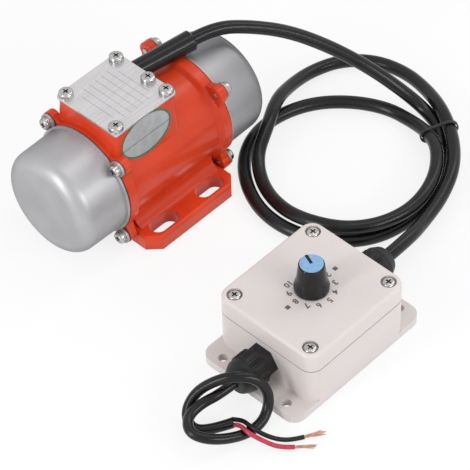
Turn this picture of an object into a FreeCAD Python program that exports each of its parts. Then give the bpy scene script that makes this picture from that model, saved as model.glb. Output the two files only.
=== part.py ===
import FreeCAD, Part
import math
import os
import re

import Sketcher
from FreeCAD import Placement, Rotation, Vector

# Unbalance vibration motor on slotted feet, with its lead and a speed controller.
# Frame: origin at the middle of the motor's four foot slots, on the mounting plane;
# +X along the shaft towards the cable end, +Z up. The motor pieces are drawn about
# the shaft axis and the controller pieces about the middle of the box's underside,
# and each piece is then placed. A tool that cuts right through starts and ends at
# least 1 mm outside the solid.

doc = FreeCAD.newDocument("vibration_motor")
sheet = doc.addObject("Spreadsheet::Sheet", "Sizes")

SIZES = [
    # general fits
    ("fit_gap", 0.05),
    ("hole_gap", 0.2),
    # motor housing
    ("axis_height", 29.6),
    ("barrel_radius", 26.0),
    ("housing_half", 33.0),
    ("bore_radius", 22.5),
    ("flange_radius", 28.5),
    ("flange_width", 5.0),
    ("flange_slope", 2.0),
    ("lug_y", 22.4),
    ("lug_z", 21.7),
    ("lug_radius", 4.3),
    ("lug_length", 4.2),
    ("lug_spread", 7.5),
    ("tip_show", 0.6),
    ("shield_radius", 24.8),
    ("shield_depth", 4.0),
    # foot
    ("foot_length", 57.0),
    ("foot_width", 74.0),
    ("foot_thick", 7.7),
    ("foot_chamfer", 5.8),
    ("foot_round", 1.8),
    ("foot_fillet", 6.0),
    ("slot_pitch_x", 30.0),
    ("slot_pitch_y", 60.0),
    ("slot_width", 8.6),
    ("slot_length", 16.0),
    # terminal turret
    ("turret_x", -11.45),
    ("turret_length", 37.8),
    ("turret_width", 37.6),
    ("turret_flare", 2.4),
    ("turret_top", 35.8),
    ("turret_base", 15.0),
    ("turret_wall", 3.2),
    ("turret_floor", 27.2),
    ("turret_corner", 2.5),
    ("post_radius", 3.6),
    ("wire_hole", 4.0),
    ("cover_screw_x", 15.9),
    ("cover_screw_y", 16.0),
    ("edge_screw_x", 16.0),
    ("edge_screw_y", -4.4),
    ("seat_gasket", 0.5),
    ("seat_gasket_inset", 0.5),
    ("seat_gasket_width", 2.2),
    ("cover_thick", 1.4),
    ("cover_lip", 0.4),
    ("cover_corner", 1.4),
    ("cover_screw_length", 8.5),
    ("cover_hole_depth", 7.0),
    # fasteners
    ("screw_radius", 1.5),
    ("screw_head_radius", 3.0),
    ("screw_head_height", 2.1),
    ("cover_head_radius", 3.4),
    ("edge_round", 0.8),
    ("washer_radius", 3.3),
    ("washer_thick", 0.6),
    ("recess_width", 0.7),
    ("recess_length", 3.0),
    ("recess_depth", 1.0),
    # end caps
    ("cap_radius", 27.0),
    ("cap_draft", 0.5),
    ("cap_wall", 2.0),
    ("cap_length", 26.2),
    ("cap_rim_radius", 28.2),
    ("cap_rim_thick", 1.2),
    ("cap_ear_radius", 4.0),
    ("cap_round", 7.0),
    ("cap_gasket", 0.5),
    ("cap_gasket_inset", 0.5),
    # stator and rotor
    ("stator_half", 14.0),
    ("stator_inner", 12.5),
    ("tooth_slot_width", 4.0),
    ("tooth_slot_outer", 19.0),
    ("tooth_slot_inner", 13.6),
    ("tooth_gap_width", 1.4),
    ("winding_end", 20.0),
    ("winding_outer", 20.5),
    ("winding_inner", 14.2),
    ("rotor_half", 13.0),
    ("rotor_radius", 10.8),
    ("magnet_thick", 1.2),
    ("magnet_split", 1.5),
    ("rotor_seat_radius", 5.0),
    # shaft and bearings
    ("shaft_radius", 4.0),
    ("shaft_half", "housing_half + cap_gasket + cap_length - cap_wall - shaft_clear"),
    ("shaft_clear", 3.7),
    ("shaft_tip", 4.0),
    ("bearing_outer", 11.0),
    ("bearing_width", 7.0),
    ("bearing_centre", 26.0),
    ("bearing_pitch", 7.5),
    ("ball_radius", 1.9),
    ("race_gap", 0.06),
    ("outer_race", 9.0),
    ("inner_race", 6.0),
    ("cage_radial", 0.7),
    ("cage_half", 0.7),
    ("hub_wall", 2.6),
    ("hub_inner_end", 22.0),
    ("shaft_hole", 7.2),
    ("spring_thick", 0.5),
    # unbalance weights
    ("weight_radius", 21.0),
    ("weight_hub", 8.0),
    ("weight_clear", 1.2),
    ("weight_gap", 0.6),
    ("weight_first", "housing_half + weight_clear"),
    ("weight_thick", "(shaft_half - shaft_tip - circlip_thick - circlip_play"
                     " - weight_gap - weight_first) / 2"),
    ("clamp_slit", 1.2),
    ("clamp_screw_radius", 1.6),
    ("clamp_screw_gap", 3.0),
    ("clamp_screw_z", "shaft_radius + clamp_screw_gap"),
    ("clamp_cheek", 5.0),
    ("clamp_top", "clamp_screw_z + clamp_screw_gap"),
    ("clamp_flat_gap", 0.3),
    ("clamp_flat", "clamp_screw_z - clamp_head_radius - clamp_flat_gap"),
    ("clamp_socket", 1.2),
    ("clamp_head_edge", 0.6),
    ("clamp_head_radius", "weight_thick / 2 - clamp_head_edge"),
    ("clamp_head_length", 2.2),
    ("key_width", 2.5),
    ("key_depth", 1.2),
    ("circlip_play", 0.2),
    ("circlip_mouth", 3.2),
    ("circlip_radius", 6.0),
    ("circlip_thick", 1.0),
    ("circlip_groove", 0.5),
    # cable entry
    ("cable_radius", 3.25),
    ("entry_y", 9.95),
    ("entry_z", 31.0),
    ("entry_yaw", -13.4),
    ("entry_pitch", 5.3),
    ("sleeve_radius", 4.5),
    ("sleeve_mouth", 5.1),
    ("sleeve_bevel", 0.9),
    ("tail_inside", 4.0),
    ("sleeve_inside", 1.5),
    ("sleeve_outside", 33.4),
    ("splice_radius", 2.0),
    ("splice_length", 11.0),
    ("splice_x", 8.0),
    # controller
    ("box_x", -17.0),
    ("box_y", -124.0),
    ("box_length", 62.0),
    ("box_width", 57.0),
    ("box_height", 24.0),
    ("box_wall", 2.5),
    ("box_corner", 6.3),
    ("ear_length", 84.0),
    ("ear_thick", 4.2),
    ("ear_corner", 6.0),
    ("ear_hole_x", 37.0),
    ("ear_hole_y", 19.0),
    ("ear_hole_radius", 2.2),
    ("seam_round", 0.35),
    ("lid_height", 10.1),
    ("lid_round", 1.6),
    ("lid_screw_length", 20.1),
    ("lid_hole_depth", 14.0),
    ("lid_screw_x", 25.3),
    ("lid_screw_y", 22.3),
    ("lid_recess_radius", 3.6),
    ("lid_recess_depth", 2.0),
    ("lid_post_radius", 4.6),
    ("post_inset", 0.2),
    ("seal_inset", 0.7),
    ("seal_width", 1.2),
    ("seal_depth", 0.8),
    ("board_length", 40.0),
    ("board_width", 48.0),
    ("board_thick", 1.6),
    ("board_height", 5.5),
    ("board_post_x", 16.5),
    ("board_post_y", 20.0),
    ("board_post_radius", 2.6),
    ("board_corner", 1.5),
    ("board_screw_length", 4.4),
    ("board_hole_depth", 3.0),
    ("can_radius", 4.0),
    ("can_height", 11.0),
    ("can_x", 5.0),
    ("can_y", 15.0),
    ("sink_length", 26.0),
    ("sink_height", 12.0),
    ("sink_face_y", -17.0),
    ("sink_plate", 2.0),
    ("fin_depth", 3.0),
    ("fin_thick", 1.2),
    ("chip_x", 7.0),
    ("chip_width", 9.0),
    ("chip_thick", 3.5),
    ("chip_foot", 3.0),
    ("chip_head", 11.0),
    ("leg_pitch", 2.5),
    ("leg_width", 0.8),
    ("leg_thick", 0.7),
    ("block_x", 14.5),
    ("block_length", 7.0),
    ("block_width", 12.0),
    ("block_height", 8.0),
    ("well_radius", 1.7),
    ("well_depth", 4.0),
    # glands
    ("gland_z", 13.5),
    ("gland_thread", 6.2),
    ("gland_hex", 8.6),
    ("gland_hex_thick", 4.5),
    ("gland_dome", 8.3),
    ("gland_dome_end", 14.0),
    ("gland_nose", 6.0),
    ("gland_nose_end", 18.6),
    ("gland_round", 2.4),
    ("gland_rib", 0.55),
    ("gland_rib_end", 0.6),
    ("gland_seat", 3.0),
    ("gland_inside", 5.0),
    ("seal_thick", 1.4),
    ("locknut_flat", 7.8),
    ("locknut_thick", 3.0),
    ("lead_radius", 2.4),
    # control
    ("pot_radius", 8.0),
    ("pot_height", 8.0),
    ("pot_floor", 2.0),
    ("bushing_radius", 3.5),
    ("bushing_top", 3.4),
    ("spindle_radius", 3.0),
    ("spindle_top", 12.0),
    ("nut_flat", 5.0),
    ("nut_thick", 2.0),
    ("knob_radius", 8.0),
    ("knob_skirt", 1.8),
    ("knob_waist_radius", 6.8),
    ("knob_waist_height", 6.0),
    ("knob_top_radius", 5.8),
    ("knob_height", 15.2),
    ("knob_lift", 0.5),
    ("knob_blend", 6.0),
    ("knob_hollow", 6.4),
    ("knob_hollow_depth", 3.6),
    ("knob_cap_radius", 5.3),
    ("knob_cap_thick", 1.2),
    ("knob_cap_proud", 0.2),
    # wires
    ("wire_radius", 1.05),
    ("strand_radius", 0.75),
    ("strand_length", 11.0),
    ("tie_width", 1.6),
    ("tie_thick", 0.7),
    ("tie_slack", 0.4),
]

# A size given as text is worked out in the sheet from other sizes.
for row, (name, size) in enumerate(SIZES, start=1):
    sheet.setAlias("A%d" % row, name)
for row, (name, size) in enumerate(SIZES, start=1):
    sheet.set("A%d" % row, "=" + size if isinstance(size, str) else str(size))
doc.recompute()

SIZE_NAMES = set(name for name, size in SIZES)
WORD = re.compile(r"[a-z][a-z_]*[a-z]")

subparts = []


def linked(text):
    """The expression with every size name pointed at its cell in the sheet."""
    def point(match):
        word = match.group()
        return "Sizes." + word if word in SIZE_NAMES else word
    return WORD.sub(point, str(text))


def number(text):
    """Present value of an expression, for the first sketch positions and for code."""
    answer = sheet.evalExpression(linked(text))
    return float(getattr(answer, "Value", answer))


def bind(item, setting, text):
    item.setExpression(setting, linked(text))


def shift(item, x="0", y="0", z="0"):
    """Place an object by expressions; its rotation stays as it is."""
    for letter, text in (("x", x), ("y", y), ("z", z)):
        if str(text) != "0":
            bind(item, ".Placement.Base." + letter, text)
    return item


TURNED = {
    "X": Rotation(Vector(0, 1, 0), 90),
    "Y": Rotation(Vector(1, 0, 0), -90),
    "Z": Rotation(),
}


def box(x0, x1, y0, y1, z0, z1):
    item = doc.addObject("Part::Box", "block")
    bind(item, "Length", "(%s) - (%s)" % (x1, x0))
    bind(item, "Width", "(%s) - (%s)" % (y1, y0))
    bind(item, "Height", "(%s) - (%s)" % (z1, z0))
    return shift(item, x0, y0, z0)


def corner_of(axis, start, across, up):
    """Base point of a round piece whose centre line runs along the named axis."""
    places = {"X": (start, across, up), "Y": (across, start, up), "Z": (across, up, start)}
    return places[axis]


def rod(axis, radius, start, end, across="0", up="0"):
    item = doc.addObject("Part::Cylinder", "rod")
    item.Placement = Placement(Vector(), TURNED[axis])
    bind(item, "Radius", radius)
    bind(item, "Height", "(%s) - (%s)" % (end, start))
    return shift(item, *corner_of(axis, start, across, up))


def taper(axis, radius0, radius1, start, end, across="0", up="0"):
    item = doc.addObject("Part::Cone", "taper")
    item.Placement = Placement(Vector(), TURNED[axis])
    bind(item, "Radius1", radius0)
    bind(item, "Radius2", radius1)
    bind(item, "Height", "(%s) - (%s)" % (end, start))
    return shift(item, *corner_of(axis, start, across, up))


def fuse(*pieces):
    item = doc.addObject("Part::MultiFuse", "joined")
    item.Shapes = list(pieces)
    return item


def cut(base, *tools):
    item = doc.addObject("Part::Cut", "cut")
    item.Base = base
    item.Tool = tools[0] if len(tools) == 1 else fuse(*tools)
    return item


def common(*pieces):
    item = doc.addObject("Part::MultiCommon", "shared")
    item.Shapes = list(pieces)
    return item


def group(*pieces):
    item = doc.addObject("Part::Compound", "group")
    item.Links = list(pieces)
    return item


def mirrored(source, normal):
    item = doc.addObject("Part::Mirroring", "mirrored")
    item.Source = source
    item.Normal = normal
    return item


X_WAY = Vector(1, 0, 0)
Y_WAY = Vector(0, 1, 0)
Z_WAY = Vector(0, 0, 1)


def both_sides(source, *normals):
    """The piece and its mirror images, one doubling for each plane."""
    pieces = [source]
    for normal in normals:
        pieces += [mirrored(piece, normal) for piece in list(pieces)]
    return pieces


def turned_copies(source, axis, count):
    """Copies of a piece turned evenly about an axis through the origin."""
    pieces = [source]
    for step in range(1, count):
        item = doc.addObject("Part::Compound", "turned")
        item.Links = [source]
        item.Placement = Placement(Vector(), Rotation(axis, 360.0 * step / count))
        pieces.append(item)
    return pieces


def rounded(item, radius, picked):
    """Fillet the edges for which picked(edge) is true."""
    doc.recompute()
    edges = [place for place, edge in enumerate(item.Shape.Edges, start=1) if picked(edge)]
    result = doc.addObject("Part::Fillet", "rounded")
    result.Base = item
    size = number(radius)
    result.Edges = [(place, size, size) for place in edges]
    return result


def upright(edge):
    """True for a straight edge along Z."""
    return (edge.Curve.TypeId == "Part::GeomLine"
            and abs(edge.tangentAt(edge.FirstParameter).z) > 0.99)


def origin_item(body, role):
    return [item for item in body.Origin.OriginFeatures if item.Role == role][0]


def new_body(name):
    return doc.addObject("PartDesign::Body", name)


def new_sketch(body, role):
    sketch = body.newObject("Sketcher::SketchObject", "profile")
    sketch.AttachmentSupport = [(origin_item(body, role), "")]
    sketch.MapMode = "FlatFace"
    return sketch


def outline(body, role, corners):
    """Closed outline with every corner held by expressions."""
    sketch = new_sketch(body, role)
    spots = [Vector(number(a), number(b), 0) for a, b in corners]
    total = len(corners)
    for place in range(total):
        sketch.addGeometry(Part.LineSegment(spots[place], spots[(place + 1) % total]), False)
    for place in range(total):
        sketch.addConstraint(
            Sketcher.Constraint("Coincident", place, 2, (place + 1) % total, 1))
    for place, (across, up) in enumerate(corners):
        for kind, text in (("DistanceX", across), ("DistanceY", up)):
            spot = spots[place].x if kind == "DistanceX" else spots[place].y
            index = sketch.addConstraint(
                Sketcher.Constraint(kind, -1, 1, place, 1, spot))
            sketch.setExpression("Constraints[%d]" % index, linked(text))
    return sketch


def turned_body(name, corners, about="X"):
    """Body of revolution; corners are (along the axis, radius)."""
    body = new_body(name)
    if about == "X":
        sketch = outline(body, "XY_Plane", corners)
    else:
        sketch = outline(body, "XZ_Plane", [(radius, along) for along, radius in corners])
    feature = body.newObject("PartDesign::Revolution", "turned")
    feature.Profile = sketch
    feature.ReferenceAxis = (origin_item(body, about + "_Axis"), [""])
    feature.Angle = 360.0
    body.Tip = feature
    return body


def padded_body(name, role, corners, length, both_ways=False):
    """Body made by padding an outline."""
    body = new_body(name)
    sketch = outline(body, role, corners)
    feature = body.newObject("PartDesign::Pad", "pad")
    feature.Profile = sketch
    bind(feature, "Length", length)
    feature.Midplane = both_ways
    body.Tip = feature
    return body


def subpart(item, label):
    """Name a finished piece and keep it for export."""
    item.Label = label
    subparts.append(item)
    return item


def on_motor(item, label):
    """A finished motor piece, lifted from the shaft axis to its height above the base."""
    return subpart(shift(item, z="axis_height"), label)


def on_box(item, label):
    """A finished controller piece, moved to where the box stands."""
    return subpart(shift(item, x="box_x", y="box_y"), label)


# ------------------------------------------------------------------ motor housing

def flange_ring():
    """End flange whose inner shoulder slopes down to the barrel."""
    ring = turned_body("flange", [
        ("housing_half", "bore_radius"), ("housing_half", "flange_radius"),
        ("housing_half - flange_width", "flange_radius"),
        ("housing_half - flange_width - flange_slope", "barrel_radius"),
        ("housing_half - flange_width - flange_slope", "bore_radius")])
    outer_edge = number("housing_half - flange_width")
    return rounded(ring, "edge_round", lambda edge: abs(edge.BoundBox.XMax - outer_edge) < 0.01
                   and edge.BoundBox.XLength < 0.01 and edge.BoundBox.YLength > 1)


def lug_web():
    """Web that narrows from the flange ring out to a lug."""
    reach = "sqrt(lug_y ^ 2 + lug_z ^ 2)"
    web = padded_body("web", "YZ_Plane",
                      [("-lug_spread", "bore_radius + 2"), ("lug_spread", "bore_radius + 2"),
                       ("lug_radius", reach), ("-lug_radius", reach)], "lug_length")
    angle = math.degrees(math.atan2(number("lug_y"), number("lug_z")))
    web.Placement = Placement(Vector(), Rotation(X_WAY, -angle))
    return shift(web, x="housing_half - lug_length")


def slot_cutter(x, y):
    """One foot slot, long along the shaft."""
    bottom = "-axis_height - 1"
    top = "-axis_height + foot_thick + 4"
    half = "(slot_length - slot_width) / 2"
    return [
        box("%s - %s" % (x, half), "%s + %s" % (x, half),
            "%s - slot_width / 2" % y, "%s + slot_width / 2" % y, bottom, top),
        rod("Z", "slot_width / 2", bottom, top, "%s - %s" % (x, half), y),
        rod("Z", "slot_width / 2", bottom, top, "%s + %s" % (x, half), y),
    ]


def foot_plate():
    """Foot with clipped corners; the sketch is drawn on XY and lowered to the base."""
    half_x = "foot_length / 2"
    half_y = "foot_width / 2"
    clip = "foot_chamfer"
    corners = []
    for sx, sy, along_first in ((1, 1, False), (-1, 1, True), (-1, -1, False), (1, -1, True)):
        long_way = ("%d * (%s - %s)" % (sx, half_x, clip), "%d * %s" % (sy, half_y))
        short_way = ("%d * %s" % (sx, half_x), "%d * (%s - %s)" % (sy, half_y, clip))
        corners += [long_way, short_way] if along_first else [short_way, long_way]
    plate = padded_body("foot", "XY_Plane", corners, "foot_thick")
    eased = rounded(plate, "foot_round",
                    lambda edge: edge.BoundBox.ZMin > number("foot_thick") - 0.01)
    return shift(eased, z="-axis_height")


def foot_blend():
    """Concave blend between the foot and the barrel's sides."""
    drop = "(axis_height - foot_thick - foot_fillet)"
    reach = "(sqrt((barrel_radius + foot_fillet) ^ 2 - %s ^ 2) - 0.2)" % drop
    share = "barrel_radius / (barrel_radius + foot_fillet)"
    half = "(foot_length / 2 - foot_round - 1)"
    block = box("-(%s)" % half, half, "-" + reach, reach,
                "foot_thick - axis_height - 1", "-%s * %s" % (drop, share))
    round_side = rod("X", "foot_fillet", "-(%s) - 1" % half, "%s + 1" % half, reach,
                     "-" + drop)
    return cut(block, *both_sides(round_side, Y_WAY))


def turret_block():
    """Terminal turret: straight ends, flared sides running into the barrel."""
    half = "turret_width / 2"
    low = "(turret_width / 2 + turret_flare)"
    body = padded_body("turret", "YZ_Plane",
                       [("-" + low, "0"), (low, "0"), (low, "turret_base"), (half, "turret_top"),
                        ("-" + half, "turret_top"), ("-" + low, "turret_base")],
                       "turret_length", True)
    shift(body, x="turret_x")
    return rounded(body, "turret_corner",
                   lambda edge: edge.BoundBox.ZMin > number("turret_base") - 0.1
                   and edge.BoundBox.ZLength > 5)


def rounded_block(x0, x1, y0, y1, z0, z1, radius):
    return rounded(box(x0, x1, y0, y1, z0, z1), radius, upright)


def cover_screw_spots():
    """Five screws of the terminal cover, from the turret's middle."""
    spots = [("turret_x %s cover_screw_x" % a, "0 %s cover_screw_y" % b)
             for a in "+-" for b in "+-"]
    return spots + [("turret_x + edge_screw_x", "edge_screw_y")]


def entry_rod(radius, start, end, radius_end=None):
    """Round piece on the line of the cable entry, measured from the turret's face."""
    item = doc.addObject("Part::Cone" if radius_end else "Part::Cylinder", "entry")
    yaw = Rotation(Z_WAY, number("entry_yaw"))
    pitch = Rotation(Y_WAY, -number("entry_pitch"))
    item.Placement = Placement(Vector(), yaw.multiply(pitch).multiply(TURNED["X"]))
    if radius_end:
        bind(item, "Radius1", radius)
        bind(item, "Radius2", radius_end)
    else:
        bind(item, "Radius", radius)
    bind(item, "Height", "(%s) - (%s)" % (end, start))
    face = "turret_x + turret_length / 2"
    level = "cos(entry_pitch * 1deg)"
    return shift(item, "%s + (%s) * cos(entry_yaw * 1deg) * %s" % (face, start, level),
                 "entry_y + (%s) * sin(entry_yaw * 1deg) * %s" % (start, level),
                 "entry_z + (%s) * sin(entry_pitch * 1deg)" % start)


def make_housing():
    solid = [rod("X", "barrel_radius", "-housing_half", "housing_half")]
    solid += both_sides(flange_ring(), X_WAY)
    lug_face = number("housing_half - lug_length")
    lug = rounded(rod("X", "lug_radius", "housing_half - lug_length", "housing_half", "lug_y",
                      "lug_z"),
                  "edge_round", lambda edge: abs(edge.BoundBox.XMax - lug_face) < 0.01)
    solid += both_sides(fuse(lug, lug_web()), X_WAY, Y_WAY, Z_WAY)
    solid += [foot_plate(), foot_blend(), turret_block()]
    hollow = [rod("X", "bore_radius", "-housing_half - 1", "housing_half + 1")]
    seat = rod("X", "shield_radius", "housing_half - shield_depth", "housing_half + 1")
    hollow += both_sides(seat, X_WAY)
    lug_hole = rod("X", "screw_radius", "housing_half - lug_length - 1", "housing_half + 1",
                   "lug_y", "lug_z")
    hollow += both_sides(lug_hole, X_WAY, Y_WAY, Z_WAY)
    for x in ("-slot_pitch_x / 2", "slot_pitch_x / 2"):
        for y in ("-slot_pitch_y / 2", "slot_pitch_y / 2"):
            hollow += slot_cutter(x, y)
    chamber = rounded_block("turret_x - turret_length / 2 + turret_wall",
                            "turret_x + turret_length / 2 - turret_wall",
                            "-turret_width / 2 + turret_wall", "turret_width / 2 - turret_wall",
                            "turret_floor", "turret_top + 1", "turret_corner")
    posts = [rod("Z", "post_radius", "turret_floor - 1", "turret_top + 2", x, y)
             for x, y in cover_screw_spots()]
    hollow.append(cut(chamber, *posts))
    hollow += [rod("Z", "screw_radius", "turret_top - cover_hole_depth", "turret_top + 1", x, y)
               for x, y in cover_screw_spots()]
    hollow.append(rod("Z", "wire_hole", "bore_radius - 3", "turret_floor + 1", "turret_x",
                      "0"))
    hollow.append(entry_rod("sleeve_radius + fit_gap", "-sleeve_inside", "2"))
    hollow.append(entry_rod("cable_radius + fit_gap", "-turret_wall - tail_inside - 2", "1"))
    return on_motor(cut(fuse(*solid), *hollow), "motor_housing")


# ------------------------------------------------------------------ stator

def make_stator():
    ring = cut(rod("X", "bore_radius - fit_gap", "-stator_half", "stator_half"),
               rod("X", "stator_inner", "-stator_half - 1", "stator_half + 1"))
    slot = fuse(box("-stator_half - 1", "stator_half + 1", "-tooth_slot_width / 2",
                    "tooth_slot_width / 2", "tooth_slot_inner", "tooth_slot_outer"),
                box("-stator_half - 1", "stator_half + 1", "-tooth_gap_width / 2",
                    "tooth_gap_width / 2", "stator_inner - 1", "tooth_slot_inner + 1"))
    on_motor(cut(ring, *turned_copies(slot, X_WAY, 12)), "stator_core")
    end_ring = cut(rod("X", "winding_outer", "stator_half", "winding_end"),
                   rod("X", "winding_inner", "stator_half - 1", "winding_end + 1"))
    bar = box("-stator_half", "stator_half", "-tooth_slot_width / 2 + fit_gap",
              "tooth_slot_width / 2 - fit_gap", "tooth_slot_inner + 1",
              "tooth_slot_outer - fit_gap")
    on_motor(fuse(*(both_sides(end_ring, X_WAY) + turned_copies(bar, X_WAY, 12))),
             "stator_windings")


# ------------------------------------------------------------------ shields and bearings

def make_shield(side, label):
    """End shield: disc in the housing's seat with a hub that holds the bearing."""
    inner = "hub_inner_end"
    shoulder = "bearing_centre + bearing_width / 2 %s" % ("+ spring_thick" if side < 0 else "")
    corners = [(inner, "bearing_outer + fit_gap"), (inner, "bearing_outer + hub_wall"),
               ("housing_half - shield_depth", "bearing_outer + hub_wall"),
               ("housing_half - shield_depth", "shield_radius - fit_gap"),
               ("housing_half", "shield_radius - fit_gap"), ("housing_half", "shaft_hole"),
               (shoulder, "shaft_hole"), (shoulder, "bearing_outer + fit_gap")]
    shield = turned_body(label + "_body", corners)
    on_motor(shield if side > 0 else mirrored(shield, X_WAY), label)


def make_bearing(side, name):
    """Deep-groove ball bearing: two grooved rings, seven balls in a cage ring."""
    start = "bearing_centre - bearing_width / 2"
    end = "bearing_centre + bearing_width / 2"
    groove = doc.addObject("Part::Torus", "groove")
    groove.Placement = Placement(Vector(), TURNED["X"])
    bind(groove, "Radius1", "bearing_pitch")
    bind(groove, "Radius2", "ball_radius + race_gap")
    shift(groove, x="bearing_centre")
    outer = cut(rod("X", "bearing_outer", start, end),
                rod("X", "outer_race", "%s - 1" % start, "%s + 1" % end), groove)
    inner = cut(rod("X", "inner_race", start, end),
                rod("X", "shaft_radius", "%s - 1" % start, "%s + 1" % end), groove)
    cage = cut(rod("X", "bearing_pitch + cage_radial", "bearing_centre - cage_half",
                   "bearing_centre + cage_half"),
               rod("X", "bearing_pitch - cage_radial", "bearing_centre - 3",
                   "bearing_centre + 3"))
    ball = doc.addObject("Part::Sphere", "ball")
    bind(ball, "Radius", "ball_radius")
    shift(ball, x="bearing_centre", z="bearing_pitch")
    balls = fuse(cage, *turned_copies(ball, X_WAY, 7))
    for piece, ending in ((outer, "_bearing_outer_ring"), (balls, "_bearing_balls"),
                          (inner, "_bearing_inner_ring")):
        on_motor(piece if side > 0 else mirrored(piece, X_WAY), name + ending)


# ------------------------------------------------------------------ shaft and rotor

def make_shaft():
    seat_end = "(bearing_centre - bearing_width / 2)"
    turned = [("-shaft_half", "0"), ("-shaft_half", "shaft_radius - fit_gap"),
              ("-" + seat_end, "shaft_radius - fit_gap"), ("-" + seat_end, "rotor_seat_radius"),
              (seat_end, "rotor_seat_radius"), (seat_end, "shaft_radius - fit_gap"),
              ("shaft_half", "shaft_radius - fit_gap"), ("shaft_half", "0")]
    keyway = box("weight_first", "weight_first + weight_thick", "-key_width / 2",
                 "key_width / 2", "shaft_radius - key_depth", "shaft_radius + 1")
    clip = "weight_first + weight_thick * 2 + weight_gap + circlip_play"
    groove = cut(rod("X", "shaft_radius + 1", clip, "%s + circlip_thick" % clip),
                 rod("X", "shaft_radius - circlip_groove", "%s - 1" % clip,
                     "%s + circlip_thick + 1" % clip))
    on_motor(cut(turned_body("shaft_body", turned),
                 *(both_sides(keyway, X_WAY) + both_sides(groove, X_WAY))), "motor_shaft")
    key = box("weight_first", "weight_first + weight_thick", "-key_width / 2",
              "key_width / 2", "shaft_radius - key_depth", "shaft_radius + key_depth")
    on_motor(group(*both_sides(key, X_WAY)), "shaft_keys")
    ring = cut(rod("X", "circlip_radius", clip, "%s + circlip_thick" % clip),
               rod("X", "shaft_radius - circlip_groove", "%s - 1" % clip,
                   "%s + circlip_thick + 1" % clip),
               box("%s - 1" % clip, "%s + circlip_thick + 1" % clip, "-circlip_mouth / 2",
                   "circlip_mouth / 2", "-circlip_radius - 1", "0"))
    on_motor(group(*both_sides(ring, X_WAY)), "shaft_circlips")
    on_motor(cut(rod("X", "rotor_radius", "-rotor_half", "rotor_half"),
                 rod("X", "rotor_seat_radius", "-rotor_half - 1", "rotor_half + 1")),
             "rotor_core")
    shell = cut(rod("X", "rotor_radius + magnet_thick", "-rotor_half", "rotor_half"),
                rod("X", "rotor_radius", "-rotor_half - 1", "rotor_half + 1"),
                box("-rotor_half - 1", "rotor_half + 1", "-magnet_split / 2",
                    "magnet_split / 2", "-stator_inner", "stator_inner"),
                box("-rotor_half - 1", "rotor_half + 1", "-stator_inner", "stator_inner",
                    "-magnet_split / 2", "magnet_split / 2"))
    on_motor(shell, "rotor_magnets")


# ------------------------------------------------------------------ unbalance weights

def fan_weight(start, keyed):
    """Fan-shaped eccentric with a split hub closed by a clamp screw."""
    end = "%s + weight_thick" % start
    disc = rod("X", "weight_radius", start, end)
    lower = box(start, end, "-weight_radius - 1", "weight_radius + 1",
                "-weight_radius - 1", "0")
    fan = fuse(common(disc, lower), rod("X", "weight_hub", start, end),
               box(start, end, "-clamp_cheek", "clamp_cheek", "0", "clamp_top"))
    outside = ("%s - 1" % start, "%s + 1" % end)
    slit = box(outside[0], outside[1], "-clamp_slit / 2", "clamp_slit / 2",
               "shaft_radius - 1", "clamp_top + 1")
    screw_hole = rod("Y", "clamp_screw_radius", "-weight_hub - 1", "weight_hub + 1",
                     "%s + weight_thick / 2" % start, "clamp_screw_z")
    head_flat = box(outside[0], outside[1], "clamp_cheek", "weight_hub + 1", "clamp_flat",
                    "clamp_top + 1")
    removed = [rod("X", "shaft_radius", outside[0], outside[1]), slit, screw_hole, head_flat]
    if keyed:
        removed.append(box(outside[0], outside[1], "-key_width / 2", "key_width / 2", "0",
                           "shaft_radius + key_depth"))
    return cut(fan, *removed)


def clamp_screw(start):
    """Clamp screw across the slit, its head against the hub's flat."""
    middle = "%s + weight_thick / 2" % start
    head_end = "clamp_cheek + clamp_head_length"
    return cut(fuse(rod("Y", "clamp_screw_radius - fit_gap", "-clamp_cheek", "clamp_cheek",
                        middle, "clamp_screw_z"),
                    rod("Y", "clamp_head_radius", "clamp_cheek", head_end, middle,
                        "clamp_screw_z")),
               rod("Y", "clamp_socket", "%s - clamp_socket" % head_end, "%s + 1" % head_end,
                   middle, "clamp_screw_z"))


def make_weights():
    second = "(weight_first + weight_thick + weight_gap)"
    on_motor(fan_weight("weight_first", True), "front_fixed_weight")
    on_motor(mirrored(fan_weight("weight_first", True), X_WAY), "rear_fixed_weight")
    on_motor(fan_weight(second, False), "front_adjustable_weight")
    on_motor(clamp_screw(second), "front_adjustable_screw")
    on_motor(mirrored(fan_weight(second, False), X_WAY), "rear_adjustable_weight")
    on_motor(mirrored(clamp_screw(second), X_WAY), "rear_adjustable_screw")
    on_motor(group(*both_sides(clamp_screw("weight_first"), X_WAY)), "fixed_weight_screws")


# ------------------------------------------------------------------ end caps

def cap_blank():
    """Deep-drawn cup with a rim and four ears under the screw heads."""
    start = "housing_half + cap_gasket"
    end = "(%s + cap_length)" % start
    cup = rounded(turned_body("cup", [(start, "0"), (start, "cap_radius"),
                                      (end, "cap_radius - cap_draft"), (end, "0")]),
                  "cap_round", lambda edge: edge.BoundBox.XMin > number(end) - 0.1
                  and edge.BoundBox.YLength > 10)
    rim = rod("X", "cap_rim_radius", start, "%s + cap_rim_thick" % start)
    ear = rod("X", "cap_ear_radius", start, "%s + cap_rim_thick" % start, "lug_y", "lug_z")
    inside = rounded(turned_body("inside", [
        ("%s - 1" % start, "0"), ("%s - 1" % start, "cap_radius - cap_wall"),
        ("%s - cap_wall" % end, "cap_radius - cap_draft - cap_wall"),
        ("%s - cap_wall" % end, "0")]), "cap_round - cap_wall",
        lambda edge: edge.BoundBox.XMin > number(end) - number("cap_wall") - 0.1
        and edge.BoundBox.YLength > 10)
    hole = rod("X", "screw_radius + hole_gap", "%s - 1" % start,
               "%s + cap_rim_thick + 1" % start, "lug_y", "lug_z")
    return cut(fuse(cup, rim, *both_sides(ear, Y_WAY, Z_WAY)), inside,
               *both_sides(hole, Y_WAY, Z_WAY))


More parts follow.
